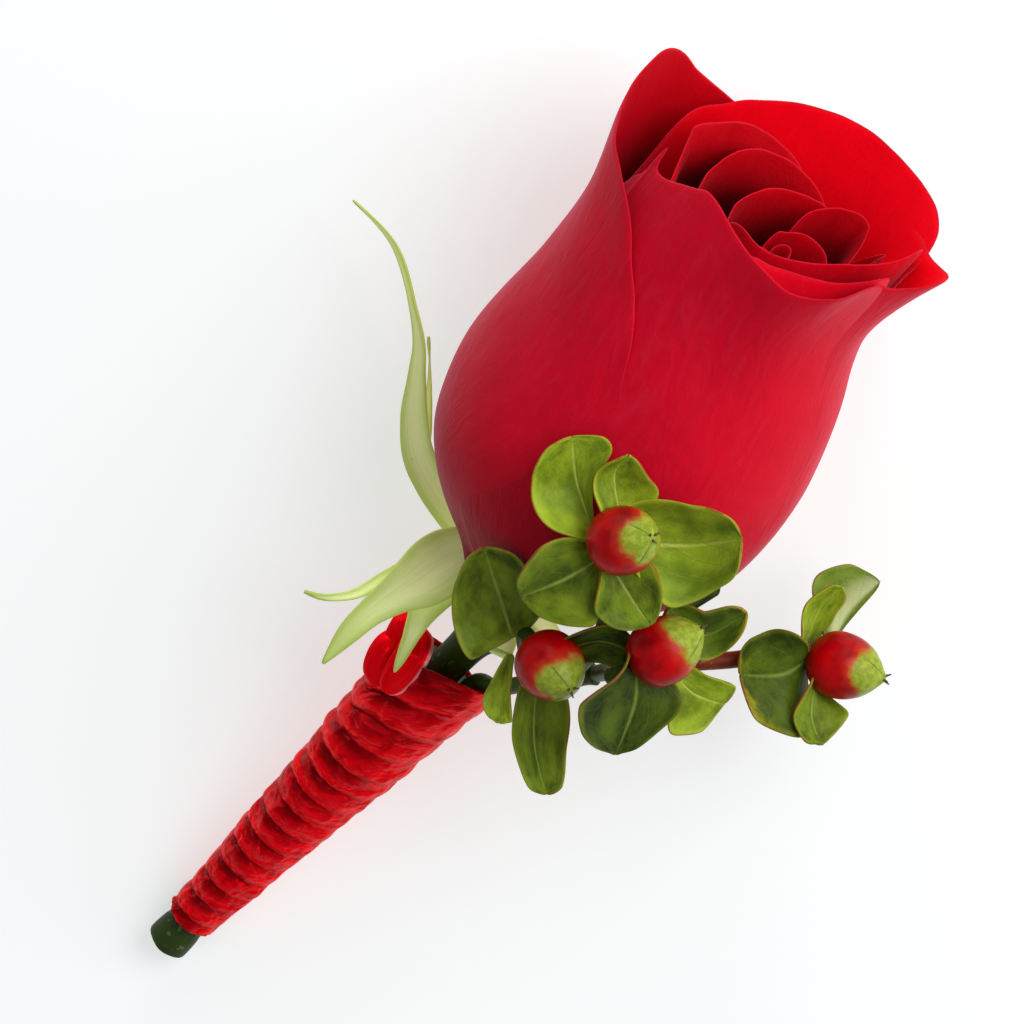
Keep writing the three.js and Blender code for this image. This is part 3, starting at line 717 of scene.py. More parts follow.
@dataclass(frozen=True)
class SatinFinish:
    """Red satin ribbon, crushed and puckered where it is wound tight, with painted shade in its
    crinkles, folds and crevices and painted glints on its crinkles.

    Attributes:
        name: The material's name.
        body: Its main colour.
        dark: The colour of the painted shade in its crinkles, folds and crevices.
        turns: How often it is wound along its length.
        shown: The share of its width that the next turn leaves bare.
        tuck_shade: How dark the painted shade is in the crevices between turns, darkest along the
            row of tucks that runs down the wrap.
        crush_and_shade: How deeply it is crushed: the depth of its bumps and of the painted shade
            in its crinkles and folds.
        pale_line: How strongly a pale line shows along one side.
    """

    name: str = "satin_red"
    body: Colour = srgb(255, 4, 22)
    dark: Colour = srgb(124, 0, 7)
    turns: float = 15.0
    shown: float = 0.39
    tuck_shade: float = 1.0
    crush_and_shade: float = 1.0
    pale_line: float = 0.0

    def build(self) -> bpy.types.Material:
        """Makes the material.

        Returns:
            The material.
        """
        p = Paint(self.name)
        u, v = p.uv()
        crinkle = p.noise(p.vector(u * 7, v * self.turns * 14, 0.5), 1.0, 2.2, 0.5, 0.8)
        fold = p.noise(p.vector(u * 3, v * self.turns * 4, 2.5), 1.0, 2.0, 0.5, 0.6)
        weave = p.noise(p.vector(u * 90, v * self.turns * 200, 1.0), 1.0, 2.0, 0.5)
        tucks = (v * self.turns * math.tau + 0.45).wave().most(0.0)
        bare = ((u - 1 + self.shown) / self.shown).most(0.0)
        valley_shade = bare.step(0.62, 0.05).most(bare.step(0.86, 1.0))
        # Painted shade: darker in its crinkles, in the crevices between turns, most along the row
        # of tucks, and in broad folds.
        colour = p.mix(crinkle.step(0.52, 0.3) * 0.5 * self.crush_and_shade, self.body, self.dark)
        colour = p.mix(valley_shade * (tucks * tucks * 0.9 + 0.1) * self.tuck_shade, colour, self.dark)
        colour = p.mix((fold - 0.5) * 1.3 * self.crush_and_shade, colour, self.dark)
        # Painted glints: bright red on the crinkles' peaks, brightest along the row of tucks.
        painted_glint = (crinkle - 0.52).most(0.0) * (tucks * 1.2 + 0.4)
        colour = p.mix(painted_glint * 2.4, colour, srgb(255, 26, 40))
        # A pale line along one side of the strip.
        if self.pale_line:
            colour = p.mix(u.step(0.13, 0.07) * self.pale_line, colour, srgb(250, 150, 150))
        normal = p.bump(fold, 1.4, 0.8 * self.crush_and_shade)
        normal = p.bump(crinkle, 0.7, 0.8 * self.crush_and_shade, normal)
        normal = p.bump(weave, 0.02, 0.3, normal)
        return p.finish(Base_Color=colour, Roughness=0.25 + weave * 0.07, Normal=normal,
                        Metallic=0.4, Specular_IOR_Level=0.15,
                        Specular_Tint=(1.0, 0.1, 0.13))


@dataclass(frozen=True)
class TapeFinish:
    """Green florist's tape: crepe paper, stretched and waxed."""

    name: str = "florist_tape"
    body: Colour = srgb(62, 84, 40)

    def build(self) -> bpy.types.Material:
        """Makes the material.

        Returns:
            The material.
        """
        p = Paint(self.name)
        place = p.coordinate("Object")
        crepe = p.noise(place, 700.0, 3.0, 0.6, 0.5)
        colour = p.mix(crepe * 0.6, self.body, srgb(34, 50, 22))
        return p.finish(Base_Color=colour, Roughness=0.6 + crepe * 0.15,
                        Normal=p.bump(crepe, 0.1, 0.5))


@dataclass(frozen=True)
class FloorFinish:
    """The plain pale table."""

    name: str = "pale_table"
    body: Colour = (0.58, 0.62, 0.62)
    glow: float = 0.5

    def build(self) -> bpy.types.Material:
        """Makes the material.

        Returns:
            The material.
        """
        return Paint(self.name).finish(
            Base_Color=self.body, Roughness=0.9, Specular_IOR_Level=0.1,
            Emission_Color=(1.0, 1.0, 1.0), Emission_Strength=self.glow)


# ---- Making pieces -----------------------------------------------------------------------------
def add(name: str, data: bpy.types.ID) -> bpy.types.Object:
    """Adds an object to the scene.

    Args:
        name: The object's name.
        data: Its mesh, light or camera.

    Returns:
        The object.
    """
    made = bpy.data.objects.new(name, data)
    bpy.context.scene.collection.objects.link(made)
    return made


def heading(line: Line, t: float) -> Vector:
    """Which way a line runs at a share of its length."""
    return (line(min(t + 0.01, 1.0)) - line(max(t - 0.01, 0.0))).normalized()


def close(bm: bmesh.types.BMesh) -> bmesh.types.BMesh:
    """Makes a rolled skin solid: its seam is welded, its ends filled, its faces turned out.

    Args:
        bm: The skin.

    Returns:
        The same mesh.
    """
    bmesh.ops.remove_doubles(bm, verts=bm.verts, dist=WELD)
    rim = [edge for edge in bm.edges if edge.is_boundary]
    bmesh.ops.holes_fill(bm, edges=rim, sides=0)
    bmesh.ops.recalc_face_normals(bm, faces=bm.faces)
    return bm


@dataclass
class SubAssembly:
    """Shared ways to model, dress and attach pieces."""

    def skin(self, columns: int, rows: int, place: Place, outward: Vector | None = None
             ) -> bmesh.types.BMesh:
        """A thin surface, its own coordinates kept as its UV map.

        Args:
            columns: Faces across.
            rows: Faces along.
            place: The point, in millimetres, at shares across and along.
            outward: Where its front side looks, or None to keep the grid's own side.

        Returns:
            The surface, in the row frame.
        """
        bm = bmesh.new()
        uv = bm.loops.layers.uv.new("UVMap")
        bmesh.ops.create_grid(bm, x_segments=columns, y_segments=rows, size=0.5)
        for face in bm.faces:
            for loop in face.loops:
                loop[uv].uv = (loop.vert.co.x + 0.5, loop.vert.co.y + 0.5)
        for vert in bm.verts:
            vert.co = ROW @ place(vert.co.x + 0.5, vert.co.y + 0.5)
        if outward is not None:
            bm.normal_update()
            facing = sum((f.normal * f.calc_area() for f in bm.faces), Vector())
            if facing.dot(ROW.to_3x3() @ outward) < 0:
                bmesh.ops.reverse_faces(bm, faces=bm.faces)
        return bm

    def tube(self, columns: int, rows: int, centre: Line,
             radius: Callable[[float, float], float]) -> bmesh.types.BMesh:
        """A closed tube along a line.

        Args:
            columns: Faces round it.
            rows: Faces along it.
            centre: The line's point at a share of its length.
            radius: The radius at shares round and along.

        Returns:
            The tube, in the row frame.
        """
        def place(s: float, t: float) -> Vector:
            """The tube's point.

            Args:
                s: Share of the way round it.
                t: Share of its length.

            Returns:
                The point.
            """
            ahead = heading(centre, t)
            side = EYE.cross(ahead).normalized()
            a = math.tau * s
            across = side * math.cos(a) + ahead.cross(side) * math.sin(a)
            return centre(t) + across * radius(s, t)

        return close(self.skin(columns, rows, place))

    def keep(self, name: str, bm: bmesh.types.BMesh, finishes: Sequence[bpy.types.Material],
             slot: str, replaces: Sequence[str] = (), thick: float = 0.0, levels: int = 0,
             offset: float = -1.0) -> bpy.types.Object:
        """Makes a piece of a mesh, dresses it, attaches it to the root body and hides the CAD
        nodes it stands for.

        Args:
            name: The piece's name.
            bm: Its mesh, in the row frame; it is freed.
            finishes: Its materials: outside, and then inside and rim for a thick skin.
            slot: Not used.
            replaces: CAD nodes it stands for.
            thick: Thickness in millimetres for a skin, or 0 for a closed shape.
            levels: Subdivision levels.
            offset: Which side the thickness goes: -1 is behind the front.

        Returns:
            The piece.
        """
        mesh = bpy.data.meshes.new(name)
        bm.to_mesh(mesh)
        bm.free()
        mesh.polygons.foreach_set("use_smooth", [True] * len(mesh.polygons))
        for finish in finishes:
            mesh.materials.append(finish)
        piece = add(name, mesh)
        if thick:
            wall = piece.modifiers.new("wall", "SOLIDIFY")
            wall.thickness = thick * MM
            wall.offset = offset
            if len(finishes) > 1:
                wall.material_offset = 1
                wall.material_offset_rim = len(finishes) - 1
        if levels:
            soft = piece.modifiers.new("soft", "SUBSURF")
            soft.levels = soft.render_levels = levels
        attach(piece, "root")
        if replaces:
            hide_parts(*replaces)
        LOG.info("%s: %d faces", name, len(mesh.polygons))
        return piece


# ---- The rose ----------------------------------------------------------------------------------
CLAW_HEIGHT = 0.3
PETAL_LIFT = 0.4
REST_GAP = 0.08
OUTERMOST = 0.8
LAYERING = 0.9


@dataclass(frozen=True)
class Petal:
    """One outer petal: it hangs from its claw and fans out to its margin.

    Attributes:
        name: Its name.
        claw: Degrees round the bud where it is rooted.
        margin: Rows of degrees round the bud, height and outward flare.
        over: How far it lies outside the bud's profile.
        bend_from: The share of its length from which it flares.
        sinks: The heights between which its sides sink into its neighbours.
        columns: Faces across.
    """

    name: str
    claw: float
    margin: Rows
    over: float = 0.0
    bend_from: float = 0.65
    sinks: tuple[float, float] = (46, 34)
    columns: int = 60

    @property
    def outward(self) -> Vector:
        """Where its outside looks."""
        return on_bud(self.margin[len(self.margin) // 2][0], 1, 0)

    def place(self, s: float, v: float) -> Vector:
        """The petal's point.

        Args:
            s: Share of the way across it.
            v: Share of the way up to its margin.

        Returns:
            The point.
        """
        turn, height, flare = through(self.margin, s)
        h = CLAW_HEIGHT + (height - CLAW_HEIGHT) * v
        fan = self.claw + (turn - self.claw) * (0.55 + 0.45 * smooth(v, 0, 0.6))
        bend = max(0.0, (v - self.bend_from) / (1 - self.bend_from)) ** 2
        side = abs(2 * s - 1)
        tucked = smooth(h, *self.sinks)
        radius = along(BUD_PROFILE, h) + self.over + PETAL_LIFT + flare * bend
        radius += 0.2 * smooth(side, 0.88, 1) * smooth(v, 0.2, 0.6) * (1 - tucked)
        radius -= (self.over + 0.2) * tucked * smooth(side, 0.45, 1)
        return self.rested(self.rippled(on_bud(fan, radius, h), h, v))

    def rippled(self, point: Vector, height: float, v: float) -> Vector:
        """The point with the petal's waves: broad ones all over, fine ones at its margin.

        Args:
            point: The point without them.
            height: Its height.
            v: Its share of the way from the claw to the margin.

        Returns:
            The point with them.
        """
        out = (point - on_bud(0, 0, height)).normalized()
        wave = ripple(point, 1.0, 9.0) * 0.26 + ripple(point, 2.0, 4.0) * 0.07
        flutter = ripple(point, 3.0 + self.claw, 3.2) * 0.24 * smooth(v, 0.86, 1.0)
        notch = ripple(point, 8.0, 1.7) * 0.16 * smooth(v, 0.94, 1.0)
        return point + out * (wave * smooth(v, 0.02, 0.3) + flutter) + BUD * notch

    def rested(self, point: Vector) -> Vector:
        """The point, raised where the petal is pressed flat on the table."""
        sunk = REST_GAP + (OUTERMOST - self.over) * LAYERING - (point.dot(UP) + LAY.rest_drop)
        return point + UP * max(0.0, sunk)


@dataclass(frozen=True)
class MouthPetal:
    """One petal inside the bud's mouth.

    Attributes:
        name: Its name.
        margin: Rows along its margin: millimetres to the right of the bud's line, millimetres
            from it toward the eye, and height.
        curl: How far its margin rolls outward.
        foot: Height from which it is modelled.
        columns: Faces across.
        closes: How much narrower it stands at its foot.
        middle: The mouth's middle, to the right of the bud's line and toward the eye.
    """

    name: str
    margin: Rows
    curl: float
    foot: float = 30.0
    columns: int = 36
    closes: float = 0.25
    middle: tuple[float, float] = (3.0, -1.0)

    @property
    def outward(self) -> Vector:
        """Where its outside looks."""
        right, near, _ = through(self.margin, 0.5)
        return RIGHT * (right - self.middle[0]) + NEAR * (near - self.middle[1])

    def place(self, s: float, v: float) -> Vector:
        """The petal's point.

        Args:
            s: Share of the way across it.
            v: Share of the way up to its margin.

        Returns:
            The point.
        """
        right, near, height = through(self.margin, s)
        h = self.foot + (height - self.foot) * v
        away = Vector((right - self.middle[0], near - self.middle[1]))
        stands = 1 - self.closes * (1 - v) ** 1.4
        roll = self.curl * smooth(v, 0.84, 1.0) ** 2
        across = away * stands + away.normalized() * roll + Vector(self.middle)
        point = on_bud(0, 0, h) + RIGHT * across.x + NEAR * across.y
        out = (RIGHT * away.x + NEAR * away.y).normalized()
        wave = ripple(point, 5.0 + self.foot, 6.0) * 0.36 + ripple(point, 6.0, 2.4) * 0.14
        notch = ripple(point, 8.0, 1.5) * 0.24 * smooth(v, 0.86, 1.0)
        return point + out * wave * smooth(v, 0.3, 1.0) + BUD * notch


OUTER_PETALS = [
    Petal("petal_left", -105, [
        [-196, 22, 0], [-196, 44, 0], [-178, 55.5, 0], [-150, 58, 0.6], [-130, 60, 1.7],
        [-120, 61.9, 2.9], [-109, 62.2, 3.2], [-94, 59.4, 2.7], [-78, 56.9, 1.5],
        [-58, 55.8, 0.4], [-44, 54.4, 0], [-30, 51.2, 0], [-16, 45.8, 0], [-9, 37, 0],
        [-8, 24, 0]], over=0.8, bend_from=0.62),
    Petal("petal_front", 20, [
        [-70, 30, 0], [-71, 48, 0], [-66, 54, -0.8], [-60, 56.2, -1.1], [-57, 58, -1.3],
        [-54.5, 61.6, -1.5], [-52, 59.2, -1.3], [-46, 59.2, -1.2], [-38, 60.2, -1.2],
        [-28, 61.9, -1], [-20, 63, -0.6], [-5, 62, 0.2], [10, 61, 1.2], [25, 60.4, 2.4],
        [38, 62, 3], [52, 63.8, 1.8], [72, 60, 0.4], [92, 50, 0], [100, 34, 0]],
          over=0.35, bend_from=0.7, sinks=(62, 52)),
    Petal("petal_right", 112, [
        [40, 30, 0], [38, 52, 0], [50, 62, 0.4], [66, 62.8, 1.8], [84, 64.6, 4.6],
        [102, 62.6, 2.4], [130, 61, 1.4], [160, 60, 1], [184, 50, 0], [188, 30, 0]],
          over=0.0, bend_from=0.7, columns=52),
    Petal("petal_back", 190, [
        [92, 34, 0], [94, 56, 0.5], [106, 62.4, 2.5], [124, 64.5, 2.5], [146, 64.7, 1.3],
        [172, 64.1, 0.3], [200, 62.2, -0.6], [226, 60, -1.5], [249, 57, -1.6], [266, 40, -1]],
          over=-0.35, bend_from=0.6, columns=52),
    Petal("petal_lip", 45, [
        [-10, 36, 0], [-8, 52, -0.6], [4, 59, -0.8], [18, 60, -0.6], [30, 61, 0.2],
        [41, 61.8, 1], [50, 63, 1.6], [58, 64, 2], [72, 62, 1], [84, 56, 0], [92, 40, 0]],
          over=-0.75, bend_from=0.72, columns=44),
]

MOUTH_PETALS = [MouthPetal(f"petal_ring_{i + 1}", *row) for i, row in enumerate([
    ([[-3, 6, 52], [-1.9, 8, 58.5], [1.9, 12, 60], [5.4, 11.9, 61], [9.1, 8.8, 62],
      [12.9, 5.4, 63], [15.2, 1.7, 63.8], [16.1, -1.8, 63.8], [16, -4.6, 61.5],
      [14.4, -7, 56]], 0.2),
    ([[-8.6, 5.6, 50], [-9.2, 3.4, 56], [-9.8, 0.4, 57.4], [-10.2, -2.2, 58.8],
      [-9.9, -3.2, 59.4], [-8.2, -5.6, 60], [-6.3, -8.2, 60], [-3.4, -10.4, 59.4],
      [1, -12, 57.4], [5, -12.4, 53]], 0.9),
    ([[-6.4, 4, 50], [-6.9, 1.4, 56], [-7, -0.6, 56.8], [-6.6, -2.8, 57.6], [-5.8, -5.2, 58.2],
      [-4.4, -7.6, 58.6], [-2.6, -9.4, 58.6], [0.6, -10.6, 58.4], [4.4, -11.2, 57],
      [8, -10.6, 53]], 0.3),
    ([[-1.2, 6.4, 50], [-2.1, 4.4, 54.5], [-2.6, 1.8, 56.8], [-2.3, -0.8, 57.2],
      [-1.4, -3.6, 57.4], [0, -6, 57.4], [1.6, -7.9, 57.3], [3.4, -9, 57.2], [5.6, -9.6, 57],
      [8, -9.6, 54]], 0.2),
    ([[3.2, -2.4, 53], [3.8, -4.2, 57.6], [5.2, -6.6, 58.4], [6.8, -8.6, 58.6],
      [8.4, -9.4, 58.7], [9.6, -9.2, 58.7], [10.2, -7.8, 58.6], [10.4, -5.8, 58],
      [10.4, -4.2, 57], [10.3, -2.6, 55.6], [9.8, -0.6, 52]], 0.35),
    ([[1.9, 1.2, 52], [2.5, -0.1, 56], [3.4, -1.3, 56.4], [4.7, -2.7, 56.4], [6.2, -3.6, 56.2],
      [7.6, -3.4, 56], [8.6, -2.4, 55.8], [9, -0.8, 55.4], [8.6, 1.4, 52]], 0.15, 34),
    ([[3.4, 3.4, 52], [3, 1.6, 55], [3.9, 0.3, 55.9], [4.9, 0.6, 55.9], [5.2, 2, 55.6],
      [5.3, 3.8, 55], [5, 5.4, 52]], 0.05, 36, 24),
    ([[11.2, 2, 54], [11.9, -0.6, 57.6], [12.6, -3, 58.2], [13.2, -5.4, 58.4],
      [13.3, -7.6, 57.6], [12.2, -10, 55], [10.4, -11.4, 52]], 0.2, 36, 24),
    ([[0.6, 7.6, 50], [0.2, 6.8, 54.6], [1.4, 5, 56], [3.4, 5.2, 56.6], [6, 5.6, 56.8],
      [8.8, 4.4, 56.6], [10.6, 1.8, 56], [11, -0.4, 52]], 0.1, 36, 28),
])]


@dataclass
class RoseBloom(SubAssembly):
    """The bloom: five outer petals round a full bulge, and a spiral of petals in its mouth."""

    outer_thick: float = 0.26
    inner_thick: float = 0.18
    outer_rows: int = 40
    inner_rows: int = 22

    def build(self) -> None:
        """Makes every petal."""
        # The outside darkens toward the claw by the finish's default: the petal's own deeper red,
        # and painted shade.
        outside = PetalFinish("petal_outside", srgb(204, 6, 36), srgb(92, 2, 14),
                              srgb(222, 84, 116), 0.24).build()
        # The outer face of the crescent petal is a brighter copy of the outside finish and glows a
        # little: painted light.
        lit_lip = PetalFinish("petal_lip_painted_light", srgb(220, 6, 34), srgb(160, 2, 18),
                          srgb(226, 60, 90), 0.2, 2.0, through=0.1).build()
        # Lit and shaded copies of the petals' inner face: the first is brighter and glows a little
        # (painted light), the second is darker (painted shade).
        inside = PetalFinish("petal_inside_painted_light", srgb(238, 0, 22), srgb(176, 0, 12),
                             srgb(240, 30, 46), 0.04, 3.0, (0.97, 0.7), through=0.14).build()
        shaded = PetalFinish("petal_shaded", srgb(186, 0, 18), srgb(120, 0, 8),
                             srgb(200, 20, 36), 0.06, 9.0, (0.97, 0.7)).build()
        rim = PetalFinish("petal_rim", srgb(196, 14, 38), srgb(150, 4, 16),
                          srgb(210, 60, 84), 0.16, 5.0).build()
        # The faces of the mouth's petals darken fully toward their claws, deep in the mouth:
        # painted shade. Their inner face also glows a little: painted light.
        shaded_heart = PetalFinish("petal_heart_painted_shade", srgb(204, 2, 26), srgb(84, 0, 8),
                            srgb(214, 40, 60), 0.1, 4.0, (0.97, 0.72), 1.0).build()
        shaded_hollow = PetalFinish("petal_hollow_painted_shade", srgb(186, 0, 16), srgb(70, 0, 4),
                             srgb(196, 24, 40), 0.04, 6.0, (1.0, 0.72), 1.0, 0.02).build()
        for i, petal in enumerate(OUTER_PETALS):
            face = lit_lip if petal.name == "petal_lip" else outside
            # The back and right petals take the lit inner face and the others the shaded one:
            # painted light and shade.
            back = inside if petal.name in ("petal_back", "petal_right") else shaded
            bm = self.skin(petal.columns, self.outer_rows, petal.place, petal.outward)
            self.keep(petal.name, bm, [face, back, rim], "petal",
                      ("rose_bloom",) if i == 0 else (), self.outer_thick, 1)
        for petal in MOUTH_PETALS:
            bm = self.skin(petal.columns, self.inner_rows, petal.place, petal.outward)
            self.keep(petal.name, bm, [shaded_heart, shaded_hollow, rim], "petal", (), self.inner_thick, 1)


# ---- Blades: leaves, sepals and loops of ribbon ------------------------------------------------
@dataclass(frozen=True)
class Blade:
    """A thin blade about a midrib.

    Attributes:
        rib: The midrib's points, from root to tip.
        faces: Which way its upper side looks at its root and from `twist_by` on.
        outline: Half its width at a share of its length and a place across, below 0 on the
            left of its midrib.
        clear: Bends each point away from its neighbours.
        twist_by: The share of its length by which it has turned to its second face.
        fold: Degrees that both halves lift in a V.
        cup: How much its edges rise, as a share of its half width.
        wave: How far its edges ripple, in millimetres.
        seed: Picks its ripple.
        steady: How far its sides keep square to the line from root to tip, from 0 to 1.
    """

    rib: Rows
    faces: tuple[Vector, Vector]
    outline: Callable[[float, float], float]
    clear: Callable[[Vector], Vector] = lambda point: point
    twist_by: float = 1.0
    fold: float = 0.0
    cup: float = 0.0
    wave: float = 0.0
    seed: float = 0.0
    steady: float = 0.0

    def centre(self, t: float) -> Vector:
        """The midrib's point at a share of its length."""
        return Vector(through(self.rib, t))

    def place(self, s: float, t: float) -> Vector:
        """The blade's point.

        Args:
            s: Share of the way across it.
            t: Share of its length.

        Returns:
            The point.
        """
        chord = (Vector(self.rib[-1]) - Vector(self.rib[0])).normalized()
        ahead = heading(self.centre, t).lerp(chord, self.steady).normalized()
        face = self.faces[0].lerp(self.faces[1], smooth(t, 0, self.twist_by))
        side = ahead.cross(face).normalized()
        lift = side.cross(ahead).normalized()
        fold = math.radians(self.fold)
        u = 2 * s - 1
        half = self.outline(t, u)
        rise = half * (abs(u) * math.sin(fold) + self.cup * u * u)
        point = self.centre(t) + side * half * u * math.cos(fold)
        ruffle = ripple(point, self.seed, 3.4) * self.wave * (0.25 + u * u)
        return self.clear(point + lift * (rise + ruffle))


SEPALS = [
    ("sepal_upright", [
        [-2.2, 1.6, -3], [-4.6, 6.2, -5.6], [-7.9, 11, -3.6], [-9.9, 15, -1.4],
        [-10.3, 19.3, 0.6], [-10, 23.4, 3], [-9.8, 27.2, 5.4], [-10.5, 31.4, 7.4],
        [-11.6, 35.8, 8.8], [-13.3, 39, 9.6], [-17, 42.7, 10]],
     (Vector((0.1, 0.4, 0.9)), Vector((-0.35, 0.2, 0.9))), 4,
     [[0, 1.9], [0.1, 2], [0.2, 2.1], [0.3, 2], [0.4, 1.7], [0.5, 1.2], [0.6, 0.76],
      [0.7, 0.44], [0.8, 0.4], [0.9, 0.28], [1, 0.05]]),
    ("sepal_lobe_side", [
        [-9.9, 14.2, -1.9], [-9.3, 18.2, -0.5], [-8.7, 22.8, 1.2], [-8.8, 28, 2.6]],
     (EYE, EYE), 4, [[0, 1], [0.3, 0.9], [0.6, 0.36], [0.8, 0.12], [1, 0.04]]),
    ("sepal_backward", [
        [-1.6, 3.2, -2.4], [-4.9, 3.9, -1.6], [-7.4, 2.7, 0], [-10, 0.9, 1.6],
        [-12.6, -0.7, 2.6], [-15.4, -2.7, 3.4], [-17.8, -5, 3.8], [-20.5, -8.2, 4]],
     (Vector((0.5, 0.69, 0.53)), EYE), 10,
     [[0, 2.2], [0.14, 3.1], [0.29, 3.8], [0.43, 3.4], [0.57, 2.3], [0.71, 1.6], [0.86, 1.2],
      [1, 0.06]]),
    ("sepal_lobe_upper", [
        [-10.8, 2, 1.3], [-13.8, 1, 1.9], [-16.6, -0.4, 2.6], [-18.8, -0.85, 3.4],
        [-20.7, -0.8, 3.9], [-22.5, -0.2, 4.2]],
     (EYE, EYE), 4, [[0, 1.6], [0.25, 0.8], [0.5, 0.5], [0.75, 0.35], [1, 0.05]]),
    ("sepal_lobe_lower", [
        [-7.6, 0.8, -0.2], [-9.6, -2.8, 0.9], [-11, -5.8, 1.8], [-12.6, -9.2, 2.2]],
     (EYE, EYE), 4, [[0, 3.4], [0.3, 1.7], [0.6, 0.95], [0.85, 0.5], [1, 0.06]]),
]

HIDDEN_SEPALS = [
    (18, [[3.4, -0.9], [6.5, -2], [9.4, -2], [12, 0.4]]),
    (95, [[3.4, -0.9], [6.5, -2], [9.5, -4], [11.5, -8]]),
    (172, [[3.4, -0.9], [6.5, -2], [9.5, -4.4], [11, -8.6]]),
]


@dataclass
class RoseStem(SubAssembly):
    """The stem with its cut end, the hip and the five sepals.

    SEPALS holds the sepals and lobes that are seen: each one's name, midrib, faces at its root
    and past it, fold and half widths. HIDDEN_SEPALS holds where each of the others grows round
    the hip, and its midrib's distances from the bud's line and heights.
    """

    hip_radius: float = 4.3
    hip_height: float = 6.5
    neck: float = 2.9
    radius: float = 2.2
    cut_radius: float = 2.6
    ribs: float = 0.025
    sepal_thick: float = 0.4
    low_sepal: float = 2.6

    def build(self) -> None:
        """Makes the stem and the sepals."""
        self.stem(StalkFinish("stem_green", srgb(44, 62, 16), srgb(26, 38, 8), 0.4).build())
        green = SepalFinish().build()
        self.sepals(green)
        self.low_sepals(green)

    @property
    def length(self) -> float:
        """How long the stem is.

        Returns:
            The distance from the hip to the cut end, where that meets the table.
        """
        rise = STEM_LINE.dot(UP)
        drop = self.cut_radius * math.sqrt(1 - rise * rise)
        return (LAY.rest_drop + stem_at(0).dot(UP) - drop) / rise

    def stem(self, finish: bpy.types.Material) -> None:
        """Makes the hip, the stem and its cut end.

        Args:
            finish: Its material.
        """
        end = self.length
        hip = [(0, 0.9), (0.6, 0.99), (1.8, 1), (3.2, 0.94)]
        rod = [(5, self.neck * 1.2), (self.hip_height, self.neck),
               (self.hip_height + 3, self.radius), (20, self.radius), (34, self.radius),
               (48, self.radius), (end - 6, self.radius), (end - 2.5, self.cut_radius * 0.96),
               (end - 0.7, self.cut_radius), (end, self.cut_radius * 0.99)]
        points = [[*(BUD * -drop), self.hip_radius * share] for drop, share in hip]
        points += [[*stem_at(drop), radius] for drop, radius in rod]

        def centre(t: float) -> Vector:
            """The stem's line."""
            return Vector(through(points, t)[:3])

        def radius(s: float, t: float) -> float:
            """The stem's radius, with five shallow ribs."""
            return through(points, t)[3] * (1 + self.ribs * math.sin(math.tau * 5 * s))

        bm = self.tube(28, 90, centre, radius)
        self.keep("rose_stem_cut", bm, [finish], "stem", ("rose_stem",))

    def sepals(self, finish: bpy.types.Material) -> None:
        """Makes the sepals that are seen, and the lobes of the one that bends back.

        Args:
            finish: Their material.
        """
        for i, (name, rib, faces, fold, widths) in enumerate(SEPALS):
            blade = Blade(rib, faces, lambda t, u, widths=widths: along(widths, t),
                          twist_by=0.16, fold=fold, wave=0.2, cup=0.12, seed=20 + i)
            bm = self.skin(12, 46, blade.place, faces[1])
            self.keep(name, bm, [finish], "stem", thick=self.sepal_thick, levels=1, offset=0)

    def low_sepals(self, finish: bpy.types.Material) -> None:
        """Makes the sepals behind the leaves and under the bud.

        Args:
            finish: Their material.
        """
        for i, (turn, rib) in enumerate(HIDDEN_SEPALS):
            out = on_bud(turn, 1, 0)
            face = BUD * 1.5 - out
            hangs = rib[-1][1] < rib[0][1]
            blade = Blade([on_bud(turn, r, h) for r, h in rib],
                          (face, BUD * 0.5 + out if hangs else face),
                          lambda t, u: self.low_sepal * math.sqrt(1 - t * t * 0.995),
                          wave=0.2, cup=0.1, seed=30 + i)
            bm = self.skin(12, 20, blade.place, face)
            self.keep(f"sepal_low_{i + 1}", bm, [finish], "stem", thick=self.sepal_thick,
                      levels=1, offset=0)


# ---- The hypericum sprig -----------------------------------------------------------------------
def dome(x: float) -> float:
    """A quarter circle that falls from 1 at 0 to 0 at 1, and stays 1 below 0."""
    return math.sqrt(max(0.0, 1 - max(0.0, x) ** 2))


@dataclass(frozen=True)
class Leaf:
    """One small leaf behind a berry.

    Attributes:
        turn: Degrees clockwise from straight up, as the posy is looked at.
        rise: Its climb toward the eye, in degrees.
        length: From its root to its tip.
        bow: How far it dips away from its face.
        left: Half its width on the left of its midrib, at shares of its length.
        right: The same on the right.
        at: How far its root lies from the berry's foot: to the right, up and toward the eye.
        tone: Its green.
        fold: Degrees that both halves lift.
        cup: How much its edges rise, as a share of its half width.
    """

    turn: float
    rise: float
    length: float
    bow: float
    left: Rows
    right: Rows
    at: Spot
    tone: Tone = Tone.PLAIN
    fold: float = 6.0
    cup: float = 0.12

    def outline(self, t: float, u: float) -> float:
        """Half the leaf's width at a share of its length, left for u below 0."""
        half = along(self.left if u < 0 else self.right, t)
        return max(0.02, half * dome((t - 0.9) / 0.1) * dome((0.08 - t) / 0.08))


